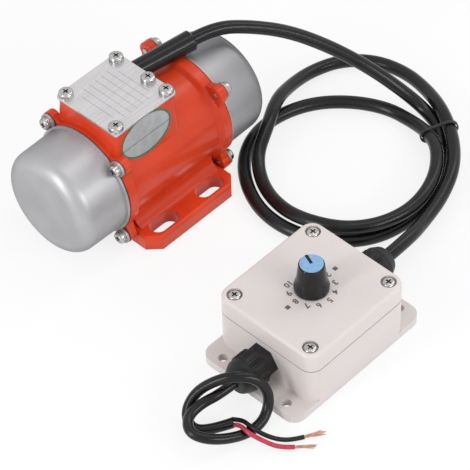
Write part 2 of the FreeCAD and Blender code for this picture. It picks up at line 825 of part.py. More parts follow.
def make_caps():
    on_motor(cap_blank(), "front_cap")
    on_motor(mirrored(cap_blank(), X_WAY), "rear_cap")
    start = "housing_half"
    end = "housing_half + cap_gasket"
    ring = rod("X", "cap_rim_radius - cap_gasket_inset", start, end)
    ear = rod("X", "cap_ear_radius - cap_gasket_inset", start, end, "lug_y", "lug_z")
    hole = rod("X", "screw_radius + hole_gap", "%s - 1" % start, "%s + 1" % end, "lug_y",
               "lug_z")
    gasket = cut(fuse(ring, *both_sides(ear, Y_WAY, Z_WAY)),
                 rod("X", "cap_radius - cap_wall", "%s - 1" % start, "%s + 1" % end),
                 *both_sides(hole, Y_WAY, Z_WAY))
    on_motor(group(*both_sides(gasket, X_WAY)), "cap_gaskets")
    seat = "housing_half + cap_gasket + cap_rim_thick"
    washer = cut(rod("X", "washer_radius", seat, "%s + washer_thick" % seat, "lug_y", "lug_z"),
                 rod("X", "screw_radius", "%s - 1" % seat, "%s + 2" % seat, "lug_y", "lug_z"))
    on_motor(group(*both_sides(washer, X_WAY, Y_WAY, Z_WAY)), "cap_screw_washers")
    head = "(%s + washer_thick)" % seat
    screw = pan_screw("X", head, "housing_half - lug_length - tip_show", "lug_y", "lug_z")
    on_motor(group(*both_sides(screw, X_WAY, Y_WAY, Z_WAY)), "cap_screws")


def pan_screw(axis, seat, tip, across, up, head_radius="screw_head_radius"):
    """Pan-head screw with a cross recess; the head stands on the seat."""
    top = "%s + screw_head_height" % seat
    head = rod(axis, head_radius, seat, top, across, up)
    doc.recompute()
    crown = rounded(head, "screw_head_height * 0.55",
                    lambda edge: number(top) - 0.01 < edge_along(edge, axis)
                    and edge.Curve.TypeId == "Part::GeomCircle")
    shank = rod(axis, "screw_radius - fit_gap", tip, seat, across, up)
    half_long = "recess_length / 2"
    half_wide = "recess_width / 2"
    floor = "%s - recess_depth" % top
    over = "%s + 1" % top
    arms = []
    for long_way, wide_way in ((half_long, half_wide), (half_wide, half_long)):
        if axis == "X":
            arms.append(box(floor, over, "%s - %s" % (across, long_way),
                            "%s + %s" % (across, long_way), "%s - %s" % (up, wide_way),
                            "%s + %s" % (up, wide_way)))
        else:
            arms.append(box("%s - %s" % (across, long_way), "%s + %s" % (across, long_way),
                            "%s - %s" % (up, wide_way), "%s + %s" % (up, wide_way),
                            floor, over))
    return cut(fuse(crown, shank), *arms)


def edge_along(edge, axis):
    limits = {"X": edge.BoundBox.XMin, "Y": edge.BoundBox.YMin, "Z": edge.BoundBox.ZMin}
    return limits[axis]


# ------------------------------------------------------------------ terminal turret lid

def turret_plate(z0, z1, grow, corner):
    """Plate with the turret's outline, larger all round by the given amount."""
    return rounded_block("turret_x - turret_length / 2 - (%s)" % grow,
                         "turret_x + turret_length / 2 + (%s)" % grow,
                         "-turret_width / 2 - (%s)" % grow, "turret_width / 2 + (%s)" % grow,
                         z0, z1, corner)


def make_terminal_cover():
    low = "turret_top"
    mid = "turret_top + seat_gasket"
    top = "(turret_top + seat_gasket + cover_thick)"
    holes = [rod("Z", "screw_radius + hole_gap", "turret_top - 1", "%s + 1" % top, x, y)
             for x, y in cover_screw_spots()]
    outside = turret_plate(low, mid, "-seat_gasket_inset", "turret_corner")
    window = turret_plate("%s - 1" % low, "%s + 1" % mid,
                          "-seat_gasket_inset - seat_gasket_width", "turret_corner")
    pads = [rod("Z", "post_radius", low, mid, x, y) for x, y in cover_screw_spots()]
    gasket = fuse(cut(outside, window), common(fuse(*pads), outside))
    on_motor(cut(gasket, *holes), "terminal_gasket")
    on_motor(cut(turret_plate(mid, top, "cover_lip", "cover_corner"), *holes),
             "terminal_cover")
    seat = "(%s + washer_thick)" % top
    on_motor(group(*[cut(rod("Z", "washer_radius", top, seat, x, y),
                         rod("Z", "screw_radius", "%s - 1" % top, "%s + 1" % seat, x, y))
                     for x, y in cover_screw_spots()]), "terminal_cover_washers")
    on_motor(group(*[pan_screw("Z", seat, "%s - cover_screw_length" % seat, x, y,
                               "cover_head_radius")
                     for x, y in cover_screw_spots()]), "terminal_cover_screws")


def make_cable_entry():
    """Sleeve over the cable where it leaves the turret, and the cable's own tail in it."""
    bevel = "sleeve_outside - sleeve_bevel"
    sleeve = cut(fuse(entry_rod("sleeve_radius", "-sleeve_inside", "0"),
                      entry_rod("sleeve_radius", "0", bevel, "sleeve_mouth"),
                      entry_rod("sleeve_mouth", bevel, "sleeve_outside",
                                "sleeve_mouth - sleeve_bevel")),
                 entry_rod("cable_radius + fit_gap", "-sleeve_inside - 1",
                           "sleeve_outside + 1"))
    on_motor(sleeve, "cable_sleeve")
    height = "turret_floor + splice_radius"
    caps = [rod("Y", "splice_radius", "-splice_length", "0", x, height)
            for x in ("turret_x - splice_x", "turret_x + splice_x")]
    caps.append(rod("X", "splice_radius", "turret_x - splice_length / 2",
                    "turret_x + splice_length / 2", "splice_x", height))
    on_motor(group(*caps), "wire_splices")


# ------------------------------------------------------------------ controller box

def box_shell_parts(z0, z1, inset):
    return rounded_block("-box_length / 2 + %s" % inset, "box_length / 2 - %s" % inset,
                         "-box_width / 2 + %s" % inset, "box_width / 2 - %s" % inset,
                         z0, z1, "box_corner - %s" % inset)


def make_base():
    ears = rounded_block("-ear_length / 2", "ear_length / 2", "-box_width / 2",
                         "box_width / 2", "0", "ear_thick", "ear_corner")
    walls = rounded(box_shell_parts("0", "box_height", "0"), "seam_round",
                    lambda edge: edge.BoundBox.ZMin > number("box_height") - 0.01)
    room = box_shell_parts("box_wall", "box_height + 1", "box_wall")
    post = rod("Z", "lid_post_radius", "box_wall - 1", "box_height", "lid_screw_x",
               "lid_screw_y")
    board_post = rod("Z", "board_post_radius", "box_wall - 1", "board_height", "board_post_x",
                     "board_post_y")
    posts = common(fuse(*both_sides(post, X_WAY, Y_WAY)),
                   box_shell_parts("0", "box_height", "post_inset"))
    screw_hole = rod("Z", "screw_radius", "box_height - lid_hole_depth", "box_height + 1",
                     "lid_screw_x", "lid_screw_y")
    board_hole = rod("Z", "screw_radius", "board_height - board_hole_depth",
                     "board_height + 1", "board_post_x", "board_post_y")
    ear_hole = rod("Z", "ear_hole_radius", "-1", "ear_thick + 1", "ear_hole_x", "ear_hole_y")
    gland_hole = rod("X", "gland_thread + fit_gap", "box_length / 2 - box_wall - 2",
                     "box_length / 2 + 1", "0", "gland_z")
    seal_groove = cut(box_shell_parts("box_height - seal_depth", "box_height + 1",
                                      "seal_inset"),
                      box_shell_parts("box_height - 2", "box_height + 2",
                                      "(seal_inset + seal_width)"))
    body = fuse(cut(fuse(ears, walls), room), posts, *both_sides(board_post, X_WAY, Y_WAY))
    removed = (both_sides(screw_hole, X_WAY, Y_WAY) + both_sides(board_hole, X_WAY, Y_WAY)
               + both_sides(ear_hole, X_WAY, Y_WAY) + both_sides(gland_hole, X_WAY)
               + [seal_groove])
    on_box(cut(body, *removed), "controller_base")
    seal = cut(box_shell_parts("box_height - seal_depth", "box_height", "seal_inset"),
               box_shell_parts("box_height - 2", "box_height + 1",
                               "(seal_inset + seal_width)"))
    on_box(seal, "lid_seal")


def make_lid():
    top = "(box_height + lid_height)"
    block = box_shell_parts("box_height", top, "0")
    doc.recompute()
    crown = rounded(block, "lid_round",
                    lambda edge: edge.BoundBox.ZMin > number(top) - 0.01)
    crown = rounded(crown, "seam_round",
                    lambda edge: edge.BoundBox.ZMax < number("box_height") + 0.01)
    room = box_shell_parts("box_height - 1", "%s - box_wall" % top, "box_wall")
    post = rod("Z", "lid_post_radius", "box_height", "%s - 1" % top, "lid_screw_x",
               "lid_screw_y")
    posts = common(fuse(*both_sides(post, X_WAY, Y_WAY)),
                   box_shell_parts("0", "%s - 1" % top, "post_inset"))
    recess = rod("Z", "lid_recess_radius", "%s - lid_recess_depth" % top, "%s + 1" % top,
                 "lid_screw_x", "lid_screw_y")
    hole = rod("Z", "screw_radius + hole_gap", "box_height - 1", "%s + 1" % top,
               "lid_screw_x", "lid_screw_y")
    spindle_hole = rod("Z", "bushing_radius + fit_gap", "%s - box_wall - 1" % top,
                       "%s + 1" % top)
    on_box(cut(fuse(cut(crown, room), posts), spindle_hole,
               *(both_sides(recess, X_WAY, Y_WAY) + both_sides(hole, X_WAY, Y_WAY))),
           "controller_lid")
    seat = "(%s - lid_recess_depth)" % top
    screw = pan_screw("Z", seat, "%s - lid_screw_length" % seat, "lid_screw_x",
                      "lid_screw_y")
    on_box(group(*both_sides(screw, X_WAY, Y_WAY)), "lid_screws")


def heat_sink(foot):
    """Upright plate with evenly spaced fins behind it."""
    crest = "%s + sink_height" % foot
    back = "sink_face_y - sink_plate"
    plate = box("-sink_length / 2", "sink_length / 2", back, "sink_face_y", foot, crest)
    fins = []
    for step in range(6):
        edge = "(%d / 5 * (sink_length - fin_thick) - sink_length / 2)" % step
        fins.append(box(edge, "%s + fin_thick" % edge, "%s - fin_depth" % back, back, foot,
                        crest))
    return fuse(plate, *fins)


def transistor(foot, x):
    """Flat package against the heat sink, on three legs."""
    back = "sink_face_y"
    middle = "(sink_face_y + chip_thick / 2)"
    package = box("%s - chip_width / 2" % x, "%s + chip_width / 2" % x, back,
                  "%s + chip_thick" % back, "%s + chip_foot" % foot, "%s + chip_head" % foot)
    legs = []
    for step in (-1, 0, 1):
        spot = "(%s + %d * leg_pitch)" % (x, step)
        legs.append(box("%s - leg_width / 2" % spot, "%s + leg_width / 2" % spot,
                        "%s - leg_thick / 2" % middle, "%s + leg_thick / 2" % middle, foot,
                        "%s + chip_foot + leg_width" % foot))
    return fuse(package, *legs)


def make_board():
    low = "board_height"
    top = "(board_height + board_thick)"
    hole = rod("Z", "screw_radius + hole_gap", "%s - 1" % low, "%s + 1" % top,
               "board_post_x", "board_post_y")
    plate = rounded_block("-board_length / 2", "board_length / 2", "-board_width / 2",
                          "board_width / 2", low, top, "board_corner")
    on_box(cut(plate, *both_sides(hole, X_WAY, Y_WAY)), "circuit_board")
    screw = pan_screw("Z", top, "%s - board_screw_length" % top, "board_post_x",
                      "board_post_y")
    on_box(group(*both_sides(screw, X_WAY, Y_WAY)), "board_screws")
    can = rod("Z", "can_radius", top, "%s + can_height" % top, "can_x", "can_y")
    on_box(group(*both_sides(can, X_WAY)), "capacitors")
    on_box(heat_sink(top), "heat_sink")
    on_box(group(transistor(top, "-chip_x"), transistor(top, "chip_x")),
           "power_transistors")
    crest = "(%s + block_height)" % top
    block = box("block_x - block_length / 2", "block_x + block_length / 2",
                "-block_width / 2", "block_width / 2", top, crest)
    wells = [rod("Z", "well_radius", "%s - well_depth" % crest, "%s + 1" % crest, "block_x",
                 y) for y in ("-block_width / 4", "block_width / 4")]
    on_box(group(*both_sides(cut(block, *wells), X_WAY)), "terminal_blocks")


# ------------------------------------------------------------------ control knob

def make_control():
    top = "(box_height + lid_height)"
    under = "%s - box_wall" % top
    bore = rod("Z", "spindle_radius + fit_gap", "%s - pot_height + pot_floor" % under,
               "%s + bushing_top + 1" % top)
    body = cut(fuse(rod("Z", "pot_radius", "%s - pot_height" % under, under),
                    rod("Z", "bushing_radius", "%s - 1" % under, "%s + bushing_top" % top)),
               bore)
    on_box(body, "potentiometer_body")
    corners = [("nut_flat / cos(30 * 1deg) * cos(%d * 1deg)" % angle,
                "nut_flat / cos(30 * 1deg) * sin(%d * 1deg)" % angle)
               for angle in range(0, 360, 60)]
    blank = shift(padded_body("nut_blank", "XY_Plane", corners, "nut_thick"), z=top)
    on_box(cut(blank, rod("Z", "bushing_radius + fit_gap", "%s - 1" % top,
                          "%s + nut_thick + 1" % top)), "potentiometer_nut")
    spindle = rod("Z", "spindle_radius", "%s - pot_height + pot_floor + hole_gap" % under,
                  "%s + spindle_top" % top)
    on_box(spindle, "potentiometer_spindle")
    foot = "(%s + knob_lift)" % top
    crown = "(%s + knob_height + knob_lift)" % top
    waist = "(%s + knob_waist_height)" % foot
    profile = [(foot, "0"), (foot, "knob_radius"), ("%s + knob_skirt" % foot, "knob_radius"),
               (waist, "knob_waist_radius"), (crown, "knob_top_radius"), (crown, "0")]
    turned = turned_body("knob_body", profile, "Z")
    eased = rounded(turned, "knob_blend",
                    lambda edge: abs(edge.BoundBox.ZMin - number(waist)) < 0.01
                    and edge.BoundBox.ZLength < 0.01)
    shaped = rounded(eased, "edge_round",
                     lambda edge: edge.BoundBox.ZLength < 0.01 and edge.BoundBox.XLength > 5
                     and (abs(edge.BoundBox.ZMin - number(crown)) < 0.01
                          or abs(edge.BoundBox.ZMin - number(foot + " + knob_skirt")) < 0.01))
    hollow = [rod("Z", "knob_hollow", "%s - 1" % foot, "%s + knob_hollow_depth" % foot),
              rod("Z", "spindle_radius + fit_gap", "%s - 1" % foot,
                  "%s + spindle_top + fit_gap" % top),
              rod("Z", "knob_cap_radius + fit_gap", "%s - knob_cap_thick" % crown,
                  "%s + 1" % crown)]
    on_box(cut(shaped, *hollow), "control_knob")
    on_box(rod("Z", "knob_cap_radius", "%s - knob_cap_thick" % crown,
               "%s + knob_cap_proud" % crown), "knob_cap")


# ------------------------------------------------------------------ cable glands

def gland_nut(cord, wall, face):
    """Dome nut: ribbed barrel, rounded nose and the two bores inside it."""
    shoulder = "(%s + gland_dome_end)" % wall
    nose = "%s + gland_nose_end" % wall
    barrel = rod("X", "gland_dome", face, shoulder, "0", "gland_z")
    tip = taper("X", "gland_dome", "gland_nose", shoulder, nose, "0", "gland_z")
    dome = rounded(fuse(barrel, tip), "gland_round",
                   lambda edge: edge.BoundBox.XLength < 0.01
                   and edge.BoundBox.XMin > number(shoulder) - 0.01)
    ribs = []
    for step in range(16):
        angle = "%s * 1deg" % (step * 360 / 16)
        ribs.append(rod("X", "gland_rib", "%s + gland_rib_end" % face,
                        "%s - gland_round" % shoulder, "gland_dome * cos(%s)" % angle,
                        "gland_z + gland_dome * sin(%s)" % angle))
    return cut(fuse(dome, *ribs),
               rod("X", "gland_thread + fit_gap", "%s - 1" % face,
                   "%s - gland_seat + 2 * fit_gap" % shoulder, "0", "gland_z"),
               rod("X", "%s + fit_gap" % cord, wall, "%s + 1" % nose, "0", "gland_z"))


def make_glands():
    """Two nylon glands: body through the wall, seal, dome nut and locknut inside."""
    wall = "box_length / 2"
    inner = "%s - box_wall" % wall
    face = "(%s + gland_hex_thick)" % wall
    seal_end = "(%s + gland_dome_end - gland_seat)" % wall
    families = {"gland_bodies": [], "gland_seals": [], "gland_nuts": [], "gland_locknuts": []}
    for side, cord in ((1, "cable_radius"), (-1, "lead_radius")):
        bore = rod("X", "%s + seal_thick" % cord, "%s - gland_inside - 1" % inner,
                   "%s + 1" % seal_end, "0", "gland_z")
        thread = rod("X", "gland_thread", "%s - gland_inside" % inner, seal_end, "0",
                     "gland_z")
        body = cut(fuse(hex_bar("gland_hex", wall, face), thread), bore)
        seal = cut(rod("X", "%s + seal_thick - fit_gap" % cord, "%s + 1" % wall, seal_end, "0",
                       "gland_z"),
                   rod("X", "%s + fit_gap" % cord, wall, "%s + 1" % seal_end, "0", "gland_z"))
        lock = cut(hex_bar("locknut_flat", "%s - locknut_thick" % inner, inner),
                   rod("X", "gland_thread + fit_gap", "%s - locknut_thick - 1" % inner, wall,
                       "0", "gland_z"))
        pieces = (body, seal, gland_nut(cord, wall, face), lock)
        for label, piece in zip(families, pieces):
            families[label].append(piece if side > 0 else mirrored(piece, X_WAY))
    for label, pieces in families.items():
        on_box(group(*pieces), label)


def hex_bar(flat_radius, start, end):
    """Hexagonal bar along X at the gland's height, a flat at the top and bottom."""
    corners = [("(%s) * cos(%d * 1deg)" % (flat_radius, angle),
                "gland_z + (%s) * sin(%d * 1deg)" % (flat_radius, angle))
               for angle in range(0, 360, 60)]
    bar = padded_body("hexagon", "YZ_Plane", corners, "(%s) - (%s)" % (end, start))
    return shift(bar, x=start)


def make_cable_tails():
    """The cable inside the sleeve and both cords inside their glands."""
    tail = shift(group(entry_rod("cable_radius", "-turret_wall - tail_inside",
                                 "sleeve_outside")), z="axis_height")
    wall = "box_length / 2"
    inner_end = "%s - box_wall - gland_inside - tail_inside" % wall
    out_tail = rod("X", "cable_radius", inner_end, "%s + gland_nose_end" % wall, "0",
                   "gland_z")
    in_tail = mirrored(rod("X", "lead_radius", inner_end, "%s + gland_nose_end" % wall, "0",
                           "gland_z"), X_WAY)
    box_tails = shift(group(out_tail, in_tail), x="box_x", y="box_y")
    subpart(group(tail, box_tails), "cable_tails")


# ------------------------------------------------------------------ cords

def cord_path(points, report):
    """Straight runs joined by tangent arcs, each as large as its two runs allow."""
    spots = [Vector(*point) for point in points]
    edges = []
    radii = []
    last = spots[0]
    for before, here, after in zip(spots, spots[1:], spots[2:]):
        back = (before - here)
        on = (after - here)
        turn = math.pi - back.getAngle(on)
        take = 0.45 * min(back.Length, on.Length)
        radii.append(take / math.tan(turn / 2))
        first = here + back * (take / back.Length)
        second = here + on * (take / on.Length)
        chord_middle = (first + second) * 0.5
        inward = chord_middle - here
        centre_gap = radii[-1] / math.cos(turn / 2)
        crest = here + inward * ((centre_gap - radii[-1]) / inward.Length)
        edges.append(Part.LineSegment(last, first).toShape())
        edges.append(Part.Arc(first, crest, second).toShape())
        last = second
    edges.append(Part.LineSegment(last, spots[-1]).toShape())
    print(report, "arc radii", " ".join("%.1f" % radius for radius in radii))
    return Part.Wire(edges)


def make_cord(points, radius_name, label):
    radius = number(radius_name)
    path = cord_path(points, label)
    start = Vector(*points[0])
    way = Vector(*points[1]) - start
    section = Part.Wire([Part.makeCircle(radius, start, way)])
    solid = path.makePipeShell([section], True, False)
    expected = math.pi * radius ** 2 * path.Length
    print(label, "length %.1f volume ratio %.4f" % (path.Length, solid.Volume / expected))
    item = doc.addObject("Part::Feature", label)
    item.Shape = solid
    item.Placement = Placement()
    return subpart(item, label)


MOTOR_CABLE = [
    (39.8, 2.2, 63.7), (51.7, -0.6, 64.8), (66.6, -8.4, 60.2), (82.7, -17.8, 52),
    (97, -29.5, 40.5), (109.7, -41.3, 27), (118.8, -54, 14.7), (123.9, -66.9, 5.1),
    (120.6, -80.9, 3.4), (110.5, -92, 3.4), (97.3, -101.5, 3.4), (80.2, -109.2, 3.4),
    (62.7, -111.1, 3.4), (44.5, -106.3, 3.4), (30.5, -93.6, 3.4), (22.5, -76.6, 3.4),
    (21.9, -58.1, 3.4), (29.1, -40.6, 3.4), (42, -26, 3.4), (58.5, -18.5, 3.4),
    (76, -19, 3.4), (92.3, -25.7, 3.4), (105.1, -38.4, 3.4), (113.3, -54.2, 3.4),
    (114.2, -69.2, 3.6), (110.3, -83.1, 7.5), (102.5, -95.2, 10.8), (87.5, -106.3, 10.8),
    (67.6, -111.4, 10.6), (49.5, -107.6, 10.6), (35.5, -97, 10.6), (28, -81.2, 10.2),
    (27.8, -64.2, 6.8), (34.1, -46.1, 4.5), (44.3, -32.7, 7.5), (59, -26.5, 13.2),
    (74, -17.8, 13.2), (90, -12.1, 7.8), (106.9, -10.1, 4), (123.1, -15.4, 3.4),
    (134.3, -28.2, 3.4), (137.5, -45, 4), (132.4, -63.3, 7.2), (123.8, -80.5, 10.6),
    (112.6, -96.2, 10.6), (98.7, -108.3, 10.2), (82.3, -115.1, 8.4), (65, -118.9, 8),
    (49, -123.8, 13.3), (33, -124, 13.5),
]

SUPPLY_LEAD = [
    (-67, -124, 13.5), (-75, -123.5, 13.2), (-83.5, -120, 11.3), (-92, -120, 9.8),
    (-97, -126, 9.2), (-94.5, -132.8, 8.2), (-87.5, -137.7, 5.5), (-78, -140.8, 2.6),
    (-69, -142, 2.8), (-62.3, -140, 6), (-60, -138, 13), (-62.3, -133.6, 20.4),
    (-69.5, -127.5, 23.8), (-75.5, -120, 19.2), (-81, -114.3, 12), (-88, -114.8, 5.6),
    (-91.4, -121.5, 2.6), (-86.5, -127.8, 2.4), (-76.8, -132.2, 2.4),
]

BLACK_WIRE = [
    (-76, -131.1, 3.1), (-74, -135.3, 4.6), (-75.6, -141.5, 6.9), (-74.5, -148, 5.6),
    (-70.3, -153.3, 2.6), (-65.5, -157, 1.2), (-61, -159.6, 1.2),
]

RED_WIRE = [
    (-77.3, -133.4, 2.3), (-77.4, -137.2, 6), (-79, -143.5, 7.2), (-76.5, -150.2, 4.8),
    (-72.3, -156, 1.2), (-67.7, -160.4, 1.2),
]


def copper_end(points):
    """Bare strands that carry on from a wire's end."""
    end = Vector(*points[-1])
    way = end - Vector(*points[-2])
    item = doc.addObject("Part::Cylinder", "strands")
    bind(item, "Radius", "strand_radius")
    bind(item, "Height", "strand_length")
    flat = Vector(way.x, way.y, 0)
    item.Placement = Placement(end, Rotation(Z_WAY, flat))
    return item


TIE_MIDDLE = Vector(114, -86.2, 6)
TIE_WAY = Vector(-0.6, -0.8, 0)


def make_tie():
    """Band round the three strands of the coil that lie together at its right."""
    way = Vector(TIE_WAY).normalize()
    reach = 8 * number("cable_radius")
    plane = Part.makePlane(2 * reach, 2 * reach, Vector(-reach, -reach, 0))
    plane.Placement = Placement(TIE_MIDDLE, Rotation(Z_WAY, way))
    strands = [vertex.Point for vertex in
               cord_path(MOTOR_CABLE, "cable_tie").section(plane).Vertexes]
    print("strands in the tie", len(strands))
    core = Part.Face(Part.makePolygon(strands + strands[:1]))
    inner = number("cable_radius + tie_slack")
    outer = core.makeOffset2D(inner + number("tie_thick"))
    ring = outer.cut(core.makeOffset2D(inner))
    band = ring.extrude(way * number("tie_width"))
    item = doc.addObject("Part::Feature", "cable_tie")
    item.Shape = band
    item.Placement = Placement()
    return subpart(item, "cable_tie")


# ------------------------------------------------------------------ build and export

make_housing()
make_stator()
make_shield(1, "front_bearing_shield")
make_shield(-1, "rear_bearing_shield")
make_bearing(1, "front")
make_bearing(-1, "rear")
make_shaft()
make_weights()
make_caps()
make_terminal_cover()
make_cable_entry()
make_base()
make_lid()
make_board()
make_control()
make_glands()
make_cable_tails()
make_cord(MOTOR_CABLE, "cable_radius", "motor_cable")
make_cord(SUPPLY_LEAD, "lead_radius", "supply_lead")
make_cord(BLACK_WIRE, "wire_radius", "black_wire")
make_cord(RED_WIRE, "wire_radius", "red_wire")
subpart(group(copper_end(BLACK_WIRE), copper_end(RED_WIRE)), "wire_ends")
make_tie()

doc.recompute()

failed = [item.Name for item in doc.Objects
          if "Invalid" in item.State or "Error" in item.State]
if failed:
    raise RuntimeError("failed objects: " + ", ".join(failed))
for item in subparts:
    if item.Shape.isNull() or not item.Shape.isValid():
        raise RuntimeError("bad shape: " + item.Label)
os.makedirs("parts", exist_ok=True)
for item in subparts:
    item.Shape.exportStep(os.path.join("parts", item.Label + ".step"))
print(len(subparts), "pieces written")
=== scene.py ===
import math
import random

import bmesh
import bpy
from mathutils import Matrix, Vector


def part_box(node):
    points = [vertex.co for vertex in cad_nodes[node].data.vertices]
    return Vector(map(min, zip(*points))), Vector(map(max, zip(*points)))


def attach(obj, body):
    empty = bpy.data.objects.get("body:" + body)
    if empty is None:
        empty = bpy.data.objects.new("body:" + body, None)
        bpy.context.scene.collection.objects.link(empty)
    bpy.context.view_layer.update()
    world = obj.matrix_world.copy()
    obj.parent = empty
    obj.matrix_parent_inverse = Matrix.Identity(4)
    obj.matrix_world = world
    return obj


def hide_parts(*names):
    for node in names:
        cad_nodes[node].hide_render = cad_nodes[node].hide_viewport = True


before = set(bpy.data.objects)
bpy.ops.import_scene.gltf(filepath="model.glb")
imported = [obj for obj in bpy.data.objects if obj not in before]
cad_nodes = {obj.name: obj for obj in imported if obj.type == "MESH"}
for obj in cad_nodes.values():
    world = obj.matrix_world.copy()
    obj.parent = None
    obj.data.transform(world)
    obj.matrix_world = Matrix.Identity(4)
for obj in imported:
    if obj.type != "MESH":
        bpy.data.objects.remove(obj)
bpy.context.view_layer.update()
scene = bpy.context.scene
scene.view_settings.view_transform = "Standard"


# ---------------------------------------------------------------- camera
# A long lens stands over the controller's corner and looks down along the cable's
# coil at the motor.
camera_data = bpy.data.cameras.new("camera")
camera_data.sensor_width = 36.0
camera_data.lens = 197.73
camera = bpy.data.objects.new("camera", camera_data)
scene.collection.objects.link(camera)
scene.camera = camera
heading = math.radians(44.96)
pitch = math.radians(47.09)
roll = math.radians(-2.065)
turn = (Matrix.Rotation(-heading, 4, "Z") @ Matrix.Rotation(math.pi / 2 - pitch, 4, "X")
        @ Matrix.Rotation(roll, 4, "Z"))
look_at = Vector((0.00572, -0.05523, 0.0))
distance = 1.1928
stand_at = look_at + turn.to_3x3() @ Vector((0, 0, distance))
camera.matrix_world = Matrix.Translation(stand_at) @ turn


# ---------------------------------------------------------------- studio
# White sweep under the object. Strip lamps high beyond the motor, on the left and in
# front give the long highlights on paint, caps and cable; a weak one fills the right.
def soft_box(name, place, aim, width, length, power):
    """Rectangular lamp at a place, turned to face another."""
    lamp = bpy.data.lights.new(name, "AREA")
    lamp.shape = "RECTANGLE"
    lamp.size = width
    lamp.size_y = length
    lamp.energy = power
    item = bpy.data.objects.new(name, lamp)
    item.location = place
    item.rotation_mode = "QUATERNION"
    item.rotation_quaternion = (Vector(aim) - Vector(place)).to_track_quat("-Z", "Y")
    scene.collection.objects.link(item)


floor_middle, object_middle = (0, -0.05, 0), (0, -0.05, 0.02)
soft_box("overhead_strip", (0.45, -0.1, 0.85), floor_middle, width=0.2, length=0.9, power=1.3)
soft_box("left_strip", (-0.9, 0.05, 0.42), object_middle, width=0.16, length=0.7, power=3.4)
soft_box("front_strip", (0.1, -0.95, 0.5), object_middle, width=0.6, length=0.14, power=2.6)
soft_box("right_fill", (0.9, -0.2, 0.6), object_middle, width=0.3, length=0.5, power=0.4)


def shows_backdrop(nodes, links):
    """1 for the rays that see the plain white backdrop, 0 for the rays that light."""
    seen = nodes.new("ShaderNodeLightPath")
    total = seen.outputs["Is Camera Ray"]
    for kind in ("Is Glossy Ray", "Is Transmission Ray"):
        either = nodes.new("ShaderNodeMath")
        either.operation = "MAXIMUM"
        links.new(total, either.inputs[0])
        links.new(seen.outputs[kind], either.inputs[1])
        total = either.outputs["Value"]
    return total


room_light, backdrop_light = 0.73, 1.0
world = bpy.data.worlds.new("studio")
scene.world = world
world.use_nodes = True
nodes, links = world.node_tree.nodes, world.node_tree.links
room = nodes["Background"]
room.inputs["Color"].default_value = (1.0, 1.0, 1.0, 1)
room.inputs["Strength"].default_value = room_light
backdrop = nodes.new("ShaderNodeBackground")
backdrop.inputs["Strength"].default_value = backdrop_light
choose = nodes.new("ShaderNodeMixShader")
links.new(shows_backdrop(nodes, links), choose.inputs["Fac"])
links.new(room.outputs["Background"], choose.inputs[1])
links.new(backdrop.outputs["Background"], choose.inputs[2])
links.new(choose.outputs["Shader"], nodes["World Output"].inputs["Surface"])


def new_material(name):
    """Node material with its shader ready; returns it, its nodes, its links and the shader."""
    material = bpy.data.materials.new(name)
    material.use_nodes = True
    tree = material.node_tree
    return material, tree.nodes, tree.links, tree.nodes["Principled BSDF"]


sweep_glow = 0.8
sweep, nodes, links, shader = new_material("white_sweep")
shader.inputs["Base Color"].default_value = (0.9, 0.9, 0.9, 1)
shader.inputs["Roughness"].default_value = 0.9
glow = nodes.new("ShaderNodeEmission")
glow.inputs["Strength"].default_value = backdrop_light
share = nodes.new("ShaderNodeMath")
share.operation = "MULTIPLY"
share.inputs[1].default_value = sweep_glow
links.new(shows_backdrop(nodes, links), share.inputs[0])
blend = nodes.new("ShaderNodeMixShader")
links.new(share.outputs["Value"], blend.inputs["Fac"])
links.new(shader.outputs["BSDF"], blend.inputs[1])
links.new(glow.outputs["Emission"], blend.inputs[2])
links.new(blend.outputs["Shader"], nodes["Material Output"].inputs["Surface"])


def finish_mesh(name, mesh, material, body=None):
    """Make a finished bmesh an object; with a body it is a piece that rides on it."""
    data = bpy.data.meshes.new(name)
    mesh.to_mesh(data)
    mesh.free()
    item = bpy.data.objects.new(name, data)
    scene.collection.objects.link(item)
    data.materials.append(material)
    if body:
        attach(item, body)
    return item


floor_half, floor_drop = 3.0, 0.0001
floor_mesh = bmesh.new()
bmesh.ops.create_grid(floor_mesh, x_segments=1, y_segments=1, size=floor_half,
                      matrix=Matrix.Translation((0, 0, -floor_drop)))
finish_mesh("floor", floor_mesh, sweep)


# ---------------------------------------------------------------- motor housing
# Die-cast aluminium with thick orange-red gloss paint: slightly uneven colour, a soft
# orange-peel skin and rounded paint edges.
def object_place(nodes):
    """The piece's own coordinates, in metres."""
    return nodes.new("ShaderNodeTexCoord").outputs["Object"]


def noise(nodes, links, place, scale, detail=3.0, stretch=None):
    """Noise on the piece's own coordinates; stretch squeezes it along an axis."""
    if stretch:
        mapping = nodes.new("ShaderNodeMapping")
        mapping.inputs["Scale"].default_value = stretch
        links.new(place, mapping.inputs["Vector"])
        place = mapping.outputs["Vector"]
    pattern = nodes.new("ShaderNodeTexNoise")
    pattern.inputs["Scale"].default_value = scale
    pattern.inputs["Detail"].default_value = detail
    links.new(place, pattern.inputs["Vector"])
    return pattern.outputs["Fac"]


def ramp(nodes, links, value, dark, light, low=0.3, high=0.7):
    """Colours from dark to light as the value goes from low to high."""
    mix = nodes.new("ShaderNodeValToRGB")
    mix.color_ramp.elements[0].position = low
    mix.color_ramp.elements[0].color = (*dark, 1)
    mix.color_ramp.elements[1].position = high
    mix.color_ramp.elements[1].color = (*light, 1)
    links.new(value, mix.inputs["Fac"])
    return mix.outputs["Color"]


def spread(nodes, links, value, low, high):
    """A value moved into the range from low to high."""
    span = nodes.new("ShaderNodeMapRange")
    span.inputs["To Min"].default_value = low
    span.inputs["To Max"].default_value = high
    links.new(value, span.inputs["Value"])
    return span.outputs["Result"]


